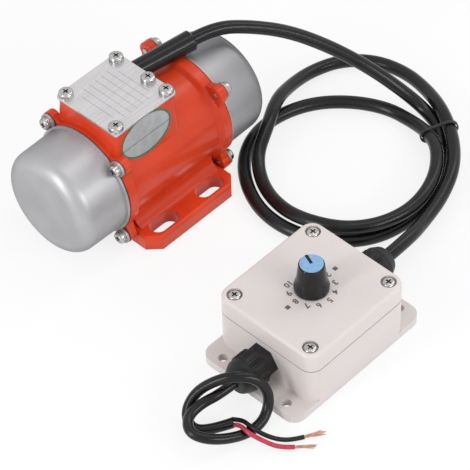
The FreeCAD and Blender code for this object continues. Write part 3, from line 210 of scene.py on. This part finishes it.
def relief(nodes, links, shader, height, depth, edge=0.0):
    """Bump of a real depth in metres over slightly rounded edges."""
    bump = nodes.new("ShaderNodeBump")
    bump.inputs["Distance"].default_value = depth
    links.new(height, bump.inputs["Height"])
    if edge:
        soft = nodes.new("ShaderNodeBevel")
        soft.samples = 4
        soft.inputs["Radius"].default_value = edge
        links.new(soft.outputs["Normal"], bump.inputs["Normal"])
    links.new(bump.outputs["Normal"], shader.inputs["Normal"])


def dress(material, *names):
    """Give CAD nodes a material."""
    for name in names:
        item = cad_nodes[name]
        if not item.material_slots:
            item.data.materials.append(material)
        for slot in item.material_slots:
            slot.material = material


paint, nodes, links, shader = new_material("orange_red_paint")
place = object_place(nodes)
cloud = noise(nodes, links, place, scale=45.0, detail=4.0)
links.new(ramp(nodes, links, cloud, dark=(0.60, 0.040, 0.009), light=(0.69, 0.056, 0.013)),
          shader.inputs["Base Color"])
links.new(spread(nodes, links, cloud, low=0.24, high=0.38), shader.inputs["Roughness"])
shader.inputs["Specular IOR Level"].default_value = 0.25
shader.inputs["Coat Weight"].default_value = 0.2
shader.inputs["Coat Roughness"].default_value = 0.14
peel = noise(nodes, links, place, scale=420.0, detail=2.0)
relief(nodes, links, shader, peel, depth=0.00004, edge=0.0009)
dress(paint, "motor_housing")


# ---------------------------------------------------------------- end caps
# Deep-drawn cups with a satin grey metallic coat, with painted light and shade along them. The
# cup at the cable's end is painted darker, and darker still towards its closed end, as painted
# shade; the other cup is painted a little lighter towards its closed end as painted light.
streak_gain = 1.15


def cap_coat(name, rim_tone, end_tone):
    """Satin grey coat whose tone shifts from one at the rim to another at the closed end: painted
    light and shade.
    """
    material, nodes, links, shader = new_material(name)
    place = object_place(nodes)
    apart = nodes.new("ShaderNodeSeparateXYZ")
    links.new(place, apart.inputs["Vector"])
    reach = nodes.new("ShaderNodeMath")
    reach.operation = "ABSOLUTE"
    links.new(apart.outputs["X"], reach.inputs[0])
    rim_corner, end_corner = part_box("front_cap")
    along = nodes.new("ShaderNodeMapRange")
    along.inputs["From Min"].default_value = rim_corner.x
    along.inputs["From Max"].default_value = end_corner.x
    links.new(reach.outputs["Value"], along.inputs["Value"])
    streak = noise(nodes, links, place, scale=60.0, detail=5.0)
    # Tone shift along the cup: painted light and shade.
    shift = nodes.new("ShaderNodeMix")
    shift.data_type = "RGBA"
    links.new(along.outputs["Result"], shift.inputs["Factor"])
    for tone, side in ((rim_tone, "A"), (end_tone, "B")):
        lighter = tuple(value * streak_gain for value in tone)
        links.new(ramp(nodes, links, streak, dark=tone, light=lighter, high=0.75),
                  shift.inputs[side])
    links.new(shift.outputs["Result"], shader.inputs["Base Color"])
    links.new(spread(nodes, links, streak, low=0.37, high=0.47), shader.inputs["Roughness"])
    shader.inputs["Metallic"].default_value = 0.6
    shader.inputs["Specular IOR Level"].default_value = 0.2
    shader.inputs["Specular Tint"].default_value = (0.12, 0.12, 0.13, 1)
    grit = noise(nodes, links, place, scale=1500.0, detail=2.0)
    relief(nodes, links, shader, grit, depth=0.00001, edge=0.0004)
    return material


# Rear cup: a little lighter towards its closed end, painted light.
dress(cap_coat("satin_grey_cap", rim_tone=(0.43, 0.425, 0.44), end_tone=(0.445, 0.445, 0.46)),
      "rear_cap")
# Front cup: darker all over and darker still towards its closed end, painted shade.
dress(cap_coat("satin_cap_painted_shade", rim_tone=(0.39, 0.385, 0.40), end_tone=(0.24, 0.24, 0.25)),
      "front_cap")


# ---------------------------------------------------------------- gaskets and seals
# Thin black rubber sheet cut to the flange, and the moulded seals of the box and glands.
def mottled(name, dark, light, scale, rough, metallic=0.0, low=0.3, high=0.7):
    """Finish that drifts between two tones and is equally rough all over."""
    material, nodes, links, shader = new_material(name)
    pattern = noise(nodes, links, object_place(nodes), scale)
    links.new(ramp(nodes, links, pattern, dark, light, low, high), shader.inputs["Base Color"])
    shader.inputs["Roughness"].default_value = rough
    shader.inputs["Metallic"].default_value = metallic
    return material


rubber = mottled("black_rubber", dark=(0.016, 0.016, 0.017), light=(0.028, 0.028, 0.03),
                 scale=200.0, rough=0.6)
dress(rubber, "cap_gaskets", "terminal_gasket", "lid_seal", "gland_seals")


# ---------------------------------------------------------------- screws and washers
# Nickel-plated steel, bright on the crown with faint turning marks. The cross of every screw is
# painted near black as painted shade.
nickel, nodes, links, shader = new_material("nickel_plate")
place = object_place(nodes)
spots = noise(nodes, links, place, scale=900.0, detail=4.0)
links.new(ramp(nodes, links, spots, dark=(0.42, 0.41, 0.40), light=(0.72, 0.71, 0.70)),
          shader.inputs["Base Color"])
links.new(spread(nodes, links, spots, low=0.16, high=0.34), shader.inputs["Roughness"])
shader.inputs["Metallic"].default_value = 1.0
shader.inputs["Specular Tint"].default_value = (0.25, 0.25, 0.26, 1)
turning = noise(nodes, links, place, scale=2500.0, detail=2.0)
relief(nodes, links, shader, turning, depth=0.00001, edge=0.00025)
dress(nickel, "cap_screws", "cap_screw_washers", "terminal_cover_screws",
      "terminal_cover_washers", "lid_screws", "board_screws")
# Near-black finish for the screws' crosses: painted shade.
recess_shade = mottled("recess_painted_shade", dark=(0.035, 0.033, 0.032), light=(0.11, 0.105, 0.10),
                scale=1200.0, rough=0.55, metallic=0.5)
screw_breadth = 0.0072
cross_reach = 0.0016
cross_shallow, cross_deep = 0.00003, 0.0013


def dirty_recess(name, axis):
    """Give the faces inside each screw's cross the painted shade's material."""
    data = cad_nodes[name].data
    data.materials.append(recess_shade)
    along = "xyz".index(axis)
    across = [number for number in range(3) if number != along]
    screws = []
    for vert in data.vertices:
        spot = (vert.co[across[0]], vert.co[across[1]])
        positive_end = vert.co[along] > 0
        for screw in screws:
            if (screw["positive_end"] == positive_end
                    and math.dist(screw["first"], spot) < screw_breadth):
                screw["verts"].append(vert)
                break
        else:
            screws.append({"positive_end": positive_end, "first": spot, "verts": [vert]})
    for screw in screws:
        rows = [[vert.co[number] for vert in screw["verts"]] for number in across]
        screw["middle"] = [(min(row) + max(row)) / 2 for row in rows]
        screw["crown"] = max(abs(vert.co[along]) for vert in screw["verts"])
    for face in data.polygons:
        spot = (face.center[across[0]], face.center[across[1]])
        positive_end = face.center[along] > 0
        for screw in screws:
            depth = screw["crown"] - abs(face.center[along])
            if (screw["positive_end"] == positive_end
                    and math.dist(screw["middle"], spot) < cross_reach
                    and cross_shallow < depth < cross_deep):
                face.material_index = len(data.materials) - 1


# Paint shade into the crosses of the cap, cover, lid and board screws.
dirty_recess("cap_screws", "x")
for name in ("terminal_cover_screws", "lid_screws", "board_screws"):
    dirty_recess(name, "z")


# ---------------------------------------------------------------- terminal cover
# Sheet steel cover brushed along the shaft, with its sheared edges softened. Seven thin
# rules are etched across it; it carries no words.
brushed, nodes, links, shader = new_material("brushed_cover")
place = object_place(nodes)
grain = noise(nodes, links, place, scale=220.0, detail=6.0, stretch=(0.25, 6.0, 6.0))
links.new(ramp(nodes, links, grain, dark=(0.68, 0.66, 0.675), light=(0.83, 0.81, 0.825)),
          shader.inputs["Base Color"])
links.new(spread(nodes, links, grain, low=0.22, high=0.36), shader.inputs["Roughness"])
shader.inputs["Metallic"].default_value = 0.85
shader.inputs["Specular Tint"].default_value = (0.3, 0.3, 0.31, 1)
relief(nodes, links, shader, grain, depth=0.00002, edge=0.0005)
dress(brushed, "terminal_cover")
etched = mottled("etched_rule", dark=(0.30, 0.27, 0.28), light=(0.46, 0.43, 0.44),
                 scale=900.0, rough=0.5, metallic=0.5, low=0.35, high=0.65)
cover_low, cover_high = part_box("terminal_cover")
cover_middle = (cover_low + cover_high) / 2
rule_half_long, end_rule_half_long = 0.0135, 0.0100
rule_half_wide = 0.00009
rule_proud = 0.00003
rules = [(-0.0118, end_rule_half_long), (-0.0078, rule_half_long), (-0.0040, rule_half_long),
         (-0.0002, rule_half_long), (0.0036, rule_half_long), (0.0074, rule_half_long),
         (0.0110, end_rule_half_long)]
rules_mesh = bmesh.new()
for from_middle, half_long in rules:
    spot = (cover_middle.x + from_middle, cover_middle.y, cover_high.z + rule_proud)
    bmesh.ops.create_grid(rules_mesh, x_segments=1, y_segments=1, size=1.0,
                          matrix=Matrix.Translation(spot)
                          @ Matrix.Diagonal((rule_half_wide, half_long, 1, 1)))
finish_mesh("cover_rules", rules_mesh, etched, "stand")


# ---------------------------------------------------------------- side label
# Oval silver foil label stuck over the turret's side where it runs into the barrel, with
# a green rim and one thin rule across; it carries no words.
turret_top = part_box("terminal_gasket")[0].z
# The turret's side drops this far, leans out this much and starts this far from the middle.
wall_drop, wall_flare, wall_half = 0.0208, 0.0024, 0.0188
shaft_height, barrel_radius = 0.0296, 0.026
foil = mottled("silver_foil", dark=(0.40, 0.42, 0.425), light=(0.50, 0.52, 0.525),
               scale=300.0, rough=0.34, metallic=0.35)
green = mottled("green_ink", dark=(0.03, 0.12, 0.06), light=(0.05, 0.18, 0.09),
                scale=700.0, rough=0.35)
label_x, label_down = -0.0131, 0.0092
label_half_long, label_half_tall = 0.0157, 0.0106
label_rim = 0.0011
foil_proud, green_proud = 0.00006, 0.0001
oval_sides, inner_rings = 72, 6
outer_ring_width, inner_ring_width = 0.12, 0.13


def on_side(x, down, proud):
    """Point on the turret's side and the barrel below it, a distance down from the top."""
    slope = math.hypot(wall_drop, wall_flare)
    if down < slope:
        part = down / slope
        point = Vector((x, -(wall_half + wall_flare * part), turret_top - wall_drop * part))
        out = Vector((0, -wall_drop, wall_flare)) / slope
    else:
        start = math.atan2(turret_top - wall_drop - shaft_height, wall_half + wall_flare)
        angle = start - (down - slope) / barrel_radius
        out = Vector((0, -math.cos(angle), math.sin(angle)))
        point = Vector((x, 0, shaft_height)) + out * barrel_radius
    return point + out * proud


def label_point(across, down, proud):
    """Point of the label, with both of its half axes taken as 1."""
    return on_side(label_x + across * label_half_long, label_down + down * label_half_tall, proud)


def oval_on_side(name, material, rim, proud):
    """Oval that follows the housing's side; rim is the ring's width, or 0 for a full oval."""
    mesh = bmesh.new()
    bmesh.ops.create_circle(mesh, segments=oval_sides, radius=1.0, cap_ends=not rim)
    if rim:
        made = bmesh.ops.extrude_edge_only(mesh, edges=list(mesh.edges))["geom"]
        for vert in (item for item in made if isinstance(item, bmesh.types.BMVert)):
            vert.co.x *= 1 - rim / label_half_long
            vert.co.y *= 1 - rim / label_half_tall
    else:
        bmesh.ops.inset_region(mesh, faces=list(mesh.faces), thickness=outer_ring_width)
        for _ in range(inner_rings):
            middle = [face for face in mesh.faces if len(face.verts) > 4]
            bmesh.ops.inset_region(mesh, faces=middle, thickness=inner_ring_width)
    for vert in mesh.verts:
        vert.co = label_point(vert.co.x, vert.co.y, proud)
    bmesh.ops.recalc_face_normals(mesh, faces=list(mesh.faces))
    if sum(face.normal.y for face in mesh.faces) > 0:
        bmesh.ops.reverse_faces(mesh, faces=list(mesh.faces))
    finish_mesh(name, mesh, material, "stand")


oval_on_side("side_label", foil, 0, foil_proud)
oval_on_side("side_label_rim", green, label_rim, green_proud)
rule_down, rule_half_tall = 0.0012, 0.00015
rule_mesh = bmesh.new()
bmesh.ops.create_grid(rule_mesh, x_segments=1, y_segments=1, size=1.0)
for vert in rule_mesh.verts:
    vert.co = on_side(label_x + vert.co.x * (label_half_long - label_rim),
                      label_down + rule_down + vert.co.y * rule_half_tall, green_proud)
bmesh.ops.recalc_face_normals(rule_mesh, faces=list(rule_mesh.faces))
finish_mesh("side_label_rule", rule_mesh, green, "stand")


# ---------------------------------------------------------------- motor cable and sleeve
# Two-core PVC cable, 6.5 mm across, pushed through a soft black sleeve at the turret; it
# drops into a loose coil of two and a half turns and ends in the controller's gland.
pvc, nodes, links, shader = new_material("black_pvc")
place = object_place(nodes)
smear = noise(nodes, links, place, scale=70.0, detail=4.0)
links.new(ramp(nodes, links, smear, dark=(0.005, 0.005, 0.005), light=(0.012, 0.012, 0.012),
               high=0.75), shader.inputs["Base Color"])
links.new(spread(nodes, links, smear, low=0.20, high=0.34), shader.inputs["Roughness"])
shader.inputs["Specular IOR Level"].default_value = 0.34
relief(nodes, links, shader, noise(nodes, links, place, scale=500.0), depth=0.00006)
dress(pvc, "cable_sleeve", "cable_tails")


def cord_curve(name, route, diameter, material):
    """Smooth cord that follows its route's points, of that diameter in metres."""
    data = bpy.data.curves.new(name, "CURVE")
    data.dimensions = "3D"
    data.resolution_u = 10
    data.bevel_depth = diameter / 2
    data.bevel_resolution = 7
    data.use_fill_caps = True
    line = data.splines.new("NURBS")
    line.points.add(len(route) - 1)
    for point, spot in zip(line.points, route):
        point.co = (*spot, 1)
    line.order_u = 3
    line.use_endpoint_u = True
    data.materials.append(material)
    item = bpy.data.objects.new(name, data)
    scene.collection.objects.link(item)
    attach(item, "stand")
    return item


cable_diameter = 0.0065
cable_route = [
    (0.0398, 0.0022, 0.0637), (0.0517, -0.0006, 0.0648), (0.0666, -0.0084, 0.0602),
    (0.0827, -0.0178, 0.052), (0.097, -0.0295, 0.0405), (0.1097, -0.0413, 0.027),
    (0.1188, -0.054, 0.0147), (0.1239, -0.0669, 0.0051), (0.1206, -0.0809, 0.0034),
    (0.1105, -0.092, 0.0034), (0.0973, -0.1015, 0.0034), (0.0802, -0.1092, 0.0034),
    (0.0627, -0.1111, 0.0034), (0.0445, -0.1063, 0.0034), (0.0305, -0.0936, 0.0034),
    (0.0225, -0.0766, 0.0034), (0.0219, -0.0581, 0.0034), (0.0291, -0.0406, 0.0034),
    (0.042, -0.026, 0.0034), (0.0585, -0.0185, 0.0034), (0.076, -0.019, 0.0034),
    (0.0923, -0.0257, 0.0034), (0.1051, -0.0384, 0.0034), (0.1133, -0.0542, 0.0034),
    (0.1142, -0.0692, 0.0036), (0.1103, -0.0831, 0.0075), (0.1025, -0.0952, 0.0108),
    (0.0875, -0.1063, 0.0108), (0.0676, -0.1114, 0.0106), (0.0495, -0.1076, 0.0106),
    (0.0355, -0.097, 0.0106), (0.028, -0.0812, 0.0102), (0.0278, -0.0642, 0.0068),
    (0.0341, -0.0461, 0.0045), (0.0443, -0.0327, 0.0075), (0.059, -0.0265, 0.0132),
    (0.074, -0.0178, 0.0132), (0.09, -0.0121, 0.0078), (0.1069, -0.0101, 0.004),
    (0.1231, -0.0154, 0.0034), (0.1343, -0.0282, 0.0034), (0.1375, -0.045, 0.004),
    (0.1324, -0.0633, 0.0072), (0.1238, -0.0805, 0.0106), (0.1126, -0.0962, 0.0106),
    (0.0987, -0.1083, 0.0102), (0.0823, -0.1151, 0.0084), (0.065, -0.1189, 0.008),
    (0.049, -0.1238, 0.0133), (0.033, -0.124, 0.0135),
]
cable = cord_curve("motor_cable_cord", cable_route, cable_diameter, pvc)
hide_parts("motor_cable")


# ---------------------------------------------------------------- cable tie
# Thin black plastic-covered wire wound round the coil's three strands, where they lie
# close together on the right.
tie_plastic = mottled("tie_plastic", dark=(0.012, 0.012, 0.013), light=(0.022, 0.022, 0.024),
                      scale=600.0, rough=0.35)
dress(tie_plastic, "cable_tie")


# ---------------------------------------------------------------- controller box
# Off-white ABS box and lid with a fine spark-eroded skin. The narrow joint between them is
# painted dark, partly dust and partly painted shade.
joint_half = 0.00028
abs_plastic, nodes, links, shader = new_material("off_white_abs")
place = object_place(nodes)
apart = nodes.new("ShaderNodeSeparateXYZ")
links.new(place, apart.inputs["Vector"])
in_joint = nodes.new("ShaderNodeMath")
in_joint.operation = "COMPARE"
in_joint.inputs[1].default_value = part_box("controller_lid")[0].z
in_joint.inputs[2].default_value = joint_half
links.new(apart.outputs["Z"], in_joint.inputs[0])
tint = ramp(nodes, links, noise(nodes, links, place, scale=30.0),
            dark=(0.675, 0.605, 0.59), light=(0.715, 0.645, 0.63))
# Dark band along the joint: dust and painted shade.
joint_dust_and_shade = nodes.new("ShaderNodeMix")
joint_dust_and_shade.data_type = "RGBA"
links.new(in_joint.outputs["Value"], joint_dust_and_shade.inputs["Factor"])
links.new(tint, joint_dust_and_shade.inputs["A"])
joint_dust_and_shade.inputs["B"].default_value = (0.30, 0.275, 0.27, 1)
links.new(joint_dust_and_shade.outputs["Result"], shader.inputs["Base Color"])
shader.inputs["Roughness"].default_value = 0.42
shader.inputs["Subsurface Weight"].default_value = 0.05
spark_skin = noise(nodes, links, place, scale=1400.0, detail=2.0)
relief(nodes, links, shader, spark_skin, depth=0.00002, edge=0.0005)
dress(abs_plastic, "controller_base", "controller_lid")


# ---------------------------------------------------------------- dial
# Grey screen-printed numbers round the knob, read from the motor's side of the box, and
# a small square over each gland's side.
ink = mottled("grey_print", dark=(0.085, 0.078, 0.078), light=(0.14, 0.13, 0.13),
              scale=1500.0, rough=0.6, low=0.35, high=0.65)
print_proud = 0.00002
print_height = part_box("controller_lid")[1].z + print_proud
dial_middle = (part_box("control_knob")[0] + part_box("control_knob")[1]) / 2
figure_size, figure_weight, half_turn = 0.0041, 0.00012, math.pi


def printed_figure(figure, x, y):
    """One flat printed number of the dial, upright for a reader on the motor's side."""
    name = "dial_%d" % figure
    text = bpy.data.curves.new(name, "FONT")
    text.body = str(figure)
    text.size = figure_size
    text.align_x = "CENTER"
    text.align_y = "CENTER"
    text.resolution_u = 3
    text.offset = figure_weight
    helper = bpy.data.objects.new(name + "_helper", text)
    scene.collection.objects.link(helper)
    data = bpy.data.meshes.new_from_object(helper.evaluated_get(
        bpy.context.evaluated_depsgraph_get()))
    bpy.data.objects.remove(helper)
    data.transform(Matrix.Translation((x, y, print_height))
                   @ Matrix.Rotation(half_turn, 4, "Z"))
    data.materials.clear()
    data.materials.append(ink)
    item = bpy.data.objects.new(name, data)
    scene.collection.objects.link(item)
    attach(item, "stand")


figures, dial_radius = 11, 0.0105
first_angle, step_angle = math.radians(60), math.radians(-30)
for figure in range(figures):
    angle = first_angle + step_angle * figure
    printed_figure(figure, dial_middle.x + dial_radius * math.cos(angle),
                   dial_middle.y + dial_radius * math.sin(angle))
square_half, square_reach = 0.00105, 0.0153
for name, reach in (("input", -square_reach), ("output", square_reach)):
    square_mesh = bmesh.new()
    spot = (dial_middle.x + reach, dial_middle.y, print_height)
    bmesh.ops.create_grid(square_mesh, x_segments=1, y_segments=1, size=square_half,
                          matrix=Matrix.Translation(spot))
    finish_mesh("lid_square_" + name, square_mesh, ink, "stand")


# ---------------------------------------------------------------- control knob
# Moulded black knob with a blue cap; a dark pointer runs from its middle to the rim.
knob_black, nodes, links, shader = new_material("knob_plastic")
place = object_place(nodes)
smudge = noise(nodes, links, place, scale=300.0)
links.new(ramp(nodes, links, smudge, dark=(0.006, 0.006, 0.006), light=(0.012, 0.012, 0.012)),
          shader.inputs["Base Color"])
shader.inputs["Roughness"].default_value = 0.16
shader.inputs["Specular IOR Level"].default_value = 0.34
mould_skin = noise(nodes, links, place, scale=1800.0, detail=2.0)
relief(nodes, links, shader, mould_skin, depth=0.00001, edge=0.0004)
dress(knob_black, "control_knob")
knob_blue = mottled("blue_cap", dark=(0.19, 0.37, 0.61), light=(0.25, 0.45, 0.70),
                    scale=500.0, rough=0.45)
dress(knob_blue, "knob_cap")
cap_low, cap_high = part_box("knob_cap")
pointer_length, pointer_width, pointer_thick = 0.0054, 0.0014, 0.0002
pointer_edge = 0.00005
pointer_angle = math.radians(69)
pointer_mesh = bmesh.new()
bmesh.ops.create_cube(pointer_mesh, size=1.0)
bmesh.ops.scale(pointer_mesh, vec=(pointer_length, pointer_width, pointer_thick),
                verts=pointer_mesh.verts)
bmesh.ops.translate(pointer_mesh, vec=(pointer_length / 2, 0, 0), verts=pointer_mesh.verts)
bmesh.ops.bevel(pointer_mesh, geom=list(pointer_mesh.edges), offset=pointer_edge, segments=2,
                affect="EDGES", profile=0.5, material=-1)
cap_top = ((cap_low.x + cap_high.x) / 2, (cap_low.y + cap_high.y) / 2, cap_high.z)
bmesh.ops.transform(pointer_mesh, verts=pointer_mesh.verts,
                    matrix=Matrix.Translation(cap_top) @ Matrix.Rotation(pointer_angle, 4, "Z"))
finish_mesh("knob_pointer", pointer_mesh, knob_black, "knob")


# ---------------------------------------------------------------- cable glands
# Black nylon glands with a slightly waxy, scuffed skin. Their dome nuts have fine moulded
# ribs all round.
gland_axis = (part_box("gland_nuts")[0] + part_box("gland_nuts")[1]) / 2


def round_ribs(nodes, links, place, ribs):
    """Wave that rises and falls this many times round the glands' common axis."""
    centred = nodes.new("ShaderNodeVectorMath")
    centred.operation = "SUBTRACT"
    centred.inputs[1].default_value = gland_axis
    links.new(place, centred.inputs[0])
    apart = nodes.new("ShaderNodeSeparateXYZ")
    links.new(centred.outputs["Vector"], apart.inputs["Vector"])
    angle = nodes.new("ShaderNodeMath")
    angle.operation = "ARCTAN2"
    links.new(apart.outputs["Y"], angle.inputs[0])
    links.new(apart.outputs["Z"], angle.inputs[1])
    turns = nodes.new("ShaderNodeMath")
    turns.operation = "MULTIPLY"
    turns.inputs[1].default_value = ribs
    links.new(angle.outputs["Value"], turns.inputs[0])
    wave = nodes.new("ShaderNodeMath")
    wave.operation = "SINE"
    links.new(turns.outputs["Value"], wave.inputs[0])
    return wave.outputs["Value"]


def gland_skin(name, ribs=0):
    """Black nylon with a fine skin or, on the nuts, this many moulded ribs."""
    material, nodes, links, shader = new_material(name)
    place = object_place(nodes)
    scuff = noise(nodes, links, place, scale=260.0, detail=5.0)
    links.new(ramp(nodes, links, scuff, dark=(0.008, 0.008, 0.008), light=(0.020, 0.020, 0.020),
                   high=0.75), shader.inputs["Base Color"])
    links.new(spread(nodes, links, scuff, low=0.28, high=0.46), shader.inputs["Roughness"])
    shader.inputs["Specular IOR Level"].default_value = 0.34
    if ribs:
        height, depth = round_ribs(nodes, links, place, ribs), 0.00012
    else:
        height, depth = noise(nodes, links, place, scale=1500.0, detail=2.0), 0.00001
    relief(nodes, links, shader, height, depth, edge=0.0003)
    return material


dress(gland_skin("gland_nylon"), "gland_bodies", "gland_locknuts")
dress(gland_skin("ribbed_nylon", ribs=60), "gland_nuts")


# ---------------------------------------------------------------- supply lead
# The 4.8 mm two-core lead lies in a loose ring in front of its gland and is stripped to
# its red and black wires.
lead_diameter = 0.0048
lead_route = [
    (-0.067, -0.124, 0.0135), (-0.075, -0.1235, 0.0132), (-0.0835, -0.12, 0.0113),
    (-0.092, -0.12, 0.0098), (-0.097, -0.126, 0.0092), (-0.0945, -0.1328, 0.0082),
    (-0.0875, -0.1377, 0.0055), (-0.078, -0.1408, 0.0026), (-0.069, -0.142, 0.0028),
    (-0.0623, -0.14, 0.006), (-0.06, -0.138, 0.013), (-0.0623, -0.1336, 0.0204),
    (-0.0695, -0.1275, 0.0238), (-0.0755, -0.12, 0.0192), (-0.081, -0.1143, 0.012),
    (-0.088, -0.1148, 0.0056), (-0.0914, -0.1215, 0.0026), (-0.0865, -0.1278, 0.0024),
    (-0.0768, -0.1322, 0.0024),
]
lead = cord_curve("supply_lead_cord", lead_route, lead_diameter, pvc)
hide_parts("supply_lead")


# ---------------------------------------------------------------- red and black wires
# Two 2.1 mm wires in soft PVC come out of the lead's end, pass over its ring and lie on
# the floor; the end of each is stripped.
wire_diameter = 0.0021
red_pvc = mottled("red_insulation", dark=(0.40, 0.022, 0.052), light=(0.54, 0.036, 0.078),
                  scale=400.0, rough=0.35)
black_route = [
    (-0.076, -0.1311, 0.0031), (-0.074, -0.1353, 0.0046), (-0.0756, -0.1415, 0.0069),
    (-0.0745, -0.148, 0.0056), (-0.0703, -0.1533, 0.0026), (-0.0655, -0.157, 0.0012),
    (-0.061, -0.1596, 0.0012),
]
red_route = [
    (-0.0773, -0.1334, 0.0023), (-0.0774, -0.1372, 0.006), (-0.079, -0.1435, 0.0072),
    (-0.0765, -0.1502, 0.0048), (-0.0723, -0.156, 0.0012), (-0.0677, -0.1604, 0.0012),
]
black_wire = cord_curve("black_wire_cord", black_route, wire_diameter, pvc)
red_wire = cord_curve("red_wire_cord", red_route, wire_diameter, red_pvc)
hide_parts("black_wire")
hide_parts("red_wire")


# ---------------------------------------------------------------- copper strands
# Fine bare copper strands, still lightly twisted together and splayed where the
# insulation was pulled off them.
copper = mottled("bare_copper", dark=(0.62, 0.34, 0.24), light=(0.84, 0.58, 0.46),
                 scale=900.0, rough=0.3, metallic=1.0)
strands, strand_steps, strand_radius = 12, 8, 0.00017
bundle_radius, bundle_core, bundle_twist, bundle_opening = 0.0006, 0.4, 2.6, 0.5
strand_root, side_gain = 0.0008, 1.4
floor_clear = 0.0003


def strand_fan(name, route, seed):
    """A dozen fine wires that leave the insulation twisted together and drift apart."""
    chance = random.Random(seed)
    end, before = Vector(route[-1]), Vector(route[-2])
    way = (end - before).normalized()
    side = way.cross(Vector((0, 0, 1))).normalized()
    facing = way.to_track_quat("Z", "Y").to_matrix().to_4x4()
    mesh = bmesh.new()
    for strand in range(strands):
        angle = strand * math.tau / strands
        reach = bundle_radius * (bundle_core + (1 - bundle_core) * chance.random())
        drift = chance.uniform(-0.05, 0.05)
        rise = chance.uniform(-0.02, 0.03)
        length = chance.uniform(0.0085, 0.0105)
        bend = chance.uniform(-0.03, 0.03)
        rings = []
        for step in range(strand_steps + 1):
            part = step / strand_steps
            lay = angle + bundle_twist * part
            start = side * math.cos(lay) * reach + Vector((0, 0, math.sin(lay) * reach))
            point = (end - way * strand_root + start * (1 + bundle_opening * part ** 2)
                     + way * length * part
                     + side * (drift * length * part + bend * length * part * part) * side_gain
                     + Vector((0, 0, rise * length * part)))
            point.z = max(point.z, floor_clear)
            made = bmesh.ops.create_circle(
                mesh, segments=6, radius=strand_radius, cap_ends=step in (0, strand_steps),
                matrix=Matrix.Translation(point) @ facing)
            rings.append([edge for edge in
                          {edge for vert in made["verts"] for edge in vert.link_edges}])
        for one, other in zip(rings, rings[1:]):
            bmesh.ops.bridge_loops(mesh, edges=one + other)
    bmesh.ops.recalc_face_normals(mesh, faces=list(mesh.faces))
    return finish_mesh(name, mesh, copper, "stand")


black_strands = strand_fan("black_wire_strands", black_route, seed=3)
red_strands = strand_fan("red_wire_strands", red_route, seed=8)
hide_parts("wire_ends")


# ---------------------------------------------------------------- stator and rotor
# Stamped steel laminations in both, enamelled copper coils in the stator's slots and
# plated magnets glued round the rotor.
rough_span = 0.15


def inside_finish(name, dark, light, scale, rough, metallic=0.0):
    """Plain finish for parts behind a cap or lid, uneven in tone and roughness."""
    material, nodes, links, shader = new_material(name)
    pattern = noise(nodes, links, object_place(nodes), scale, detail=4.0)
    links.new(ramp(nodes, links, pattern, dark, light), shader.inputs["Base Color"])
    links.new(spread(nodes, links, pattern, rough, rough + rough_span),
              shader.inputs["Roughness"])
    shader.inputs["Metallic"].default_value = metallic
    return material


laminations = inside_finish("laminations", (0.22, 0.22, 0.24), (0.36, 0.36, 0.38),
                            scale=500.0, rough=0.35, metallic=0.9)
dress(laminations, "stator_core", "rotor_core")
enamelled = inside_finish("enamelled_copper", (0.45, 0.14, 0.04), (0.62, 0.24, 0.08),
                          scale=800.0, rough=0.25, metallic=0.7)
dress(enamelled, "stator_windings")
magnet_plate = inside_finish("magnet_plate", (0.12, 0.12, 0.13), (0.2, 0.2, 0.22),
                             scale=500.0, rough=0.3, metallic=0.8)
dress(magnet_plate, "rotor_magnets")


# ---------------------------------------------------------------- bearings and shields
# Ground steel ball bearings pressed into machined aluminium shields, one at each end.
aluminium = inside_finish("machined_aluminium", (0.52, 0.53, 0.55), (0.68, 0.69, 0.7),
                          scale=400.0, rough=0.28, metallic=0.95)
dress(aluminium, "front_bearing_shield", "rear_bearing_shield")
bearing_steel = inside_finish("bearing_steel", (0.6, 0.6, 0.62), (0.82, 0.82, 0.84),
                              scale=600.0, rough=0.12, metallic=1.0)
for end in ("front", "rear"):
    dress(bearing_steel, end + "_bearing_outer_ring", end + "_bearing_balls",
          end + "_bearing_inner_ring")


# ---------------------------------------------------------------- shaft
# Ground steel shaft with blackened keys in its keyways and a blackened circlip near each
# end that keeps the weights on.
ground_steel = inside_finish("ground_steel", (0.55, 0.55, 0.57), (0.7, 0.7, 0.72),
                             scale=500.0, rough=0.2, metallic=1.0)
dress(ground_steel, "motor_shaft")
blackened = inside_finish("blackened_steel", (0.02, 0.02, 0.022), (0.05, 0.05, 0.052),
                          scale=500.0, rough=0.4, metallic=0.8)
dress(blackened, "shaft_keys", "shaft_circlips")


# ---------------------------------------------------------------- unbalance weights
# Fan-shaped weights cut from steel plate, a fixed and an adjustable one at each end, each
# clamped to the shaft by a blackened screw through its split hub.
plate_steel = inside_finish("cut_plate_steel", (0.26, 0.26, 0.28), (0.42, 0.42, 0.44),
                            scale=350.0, rough=0.34, metallic=0.95)
dress(plate_steel, "front_fixed_weight", "rear_fixed_weight", "front_adjustable_weight",
      "rear_adjustable_weight")
dress(blackened, "fixed_weight_screws", "front_adjustable_screw", "rear_adjustable_screw")


# ---------------------------------------------------------------- wire splices
# Pale crimped caps that join the windings' ends to the cable inside the turret.
crimp_cap = inside_finish("crimp_cap", (0.62, 0.62, 0.56), (0.74, 0.74, 0.68),
                          scale=400.0, rough=0.35)
dress(crimp_cap, "wire_splices")


# ---------------------------------------------------------------- circuit board
# Green board screwed down inside the base, with black component bodies, green screw
# terminals and an aluminium heat sink.
solder_mask = inside_finish("solder_mask", (0.015, 0.12, 0.04), (0.03, 0.2, 0.07),
                            scale=300.0, rough=0.25)
dress(solder_mask, "circuit_board")
component_black = inside_finish("component_black", (0.015, 0.015, 0.016), (0.03, 0.03, 0.032),
                                scale=500.0, rough=0.4)
dress(component_black, "capacitors", "power_transistors")
terminal_green = inside_finish("terminal_green", (0.02, 0.22, 0.08), (0.04, 0.3, 0.12),
                               scale=500.0, rough=0.4)
dress(terminal_green, "terminal_blocks")
dress(aluminium, "heat_sink")


# ---------------------------------------------------------------- potentiometer
# Steel-cased control that hangs under the lid, held by its nut above it; its spindle
# carries the knob.
dress(ground_steel, "potentiometer_spindle", "potentiometer_body", "potentiometer_nut")
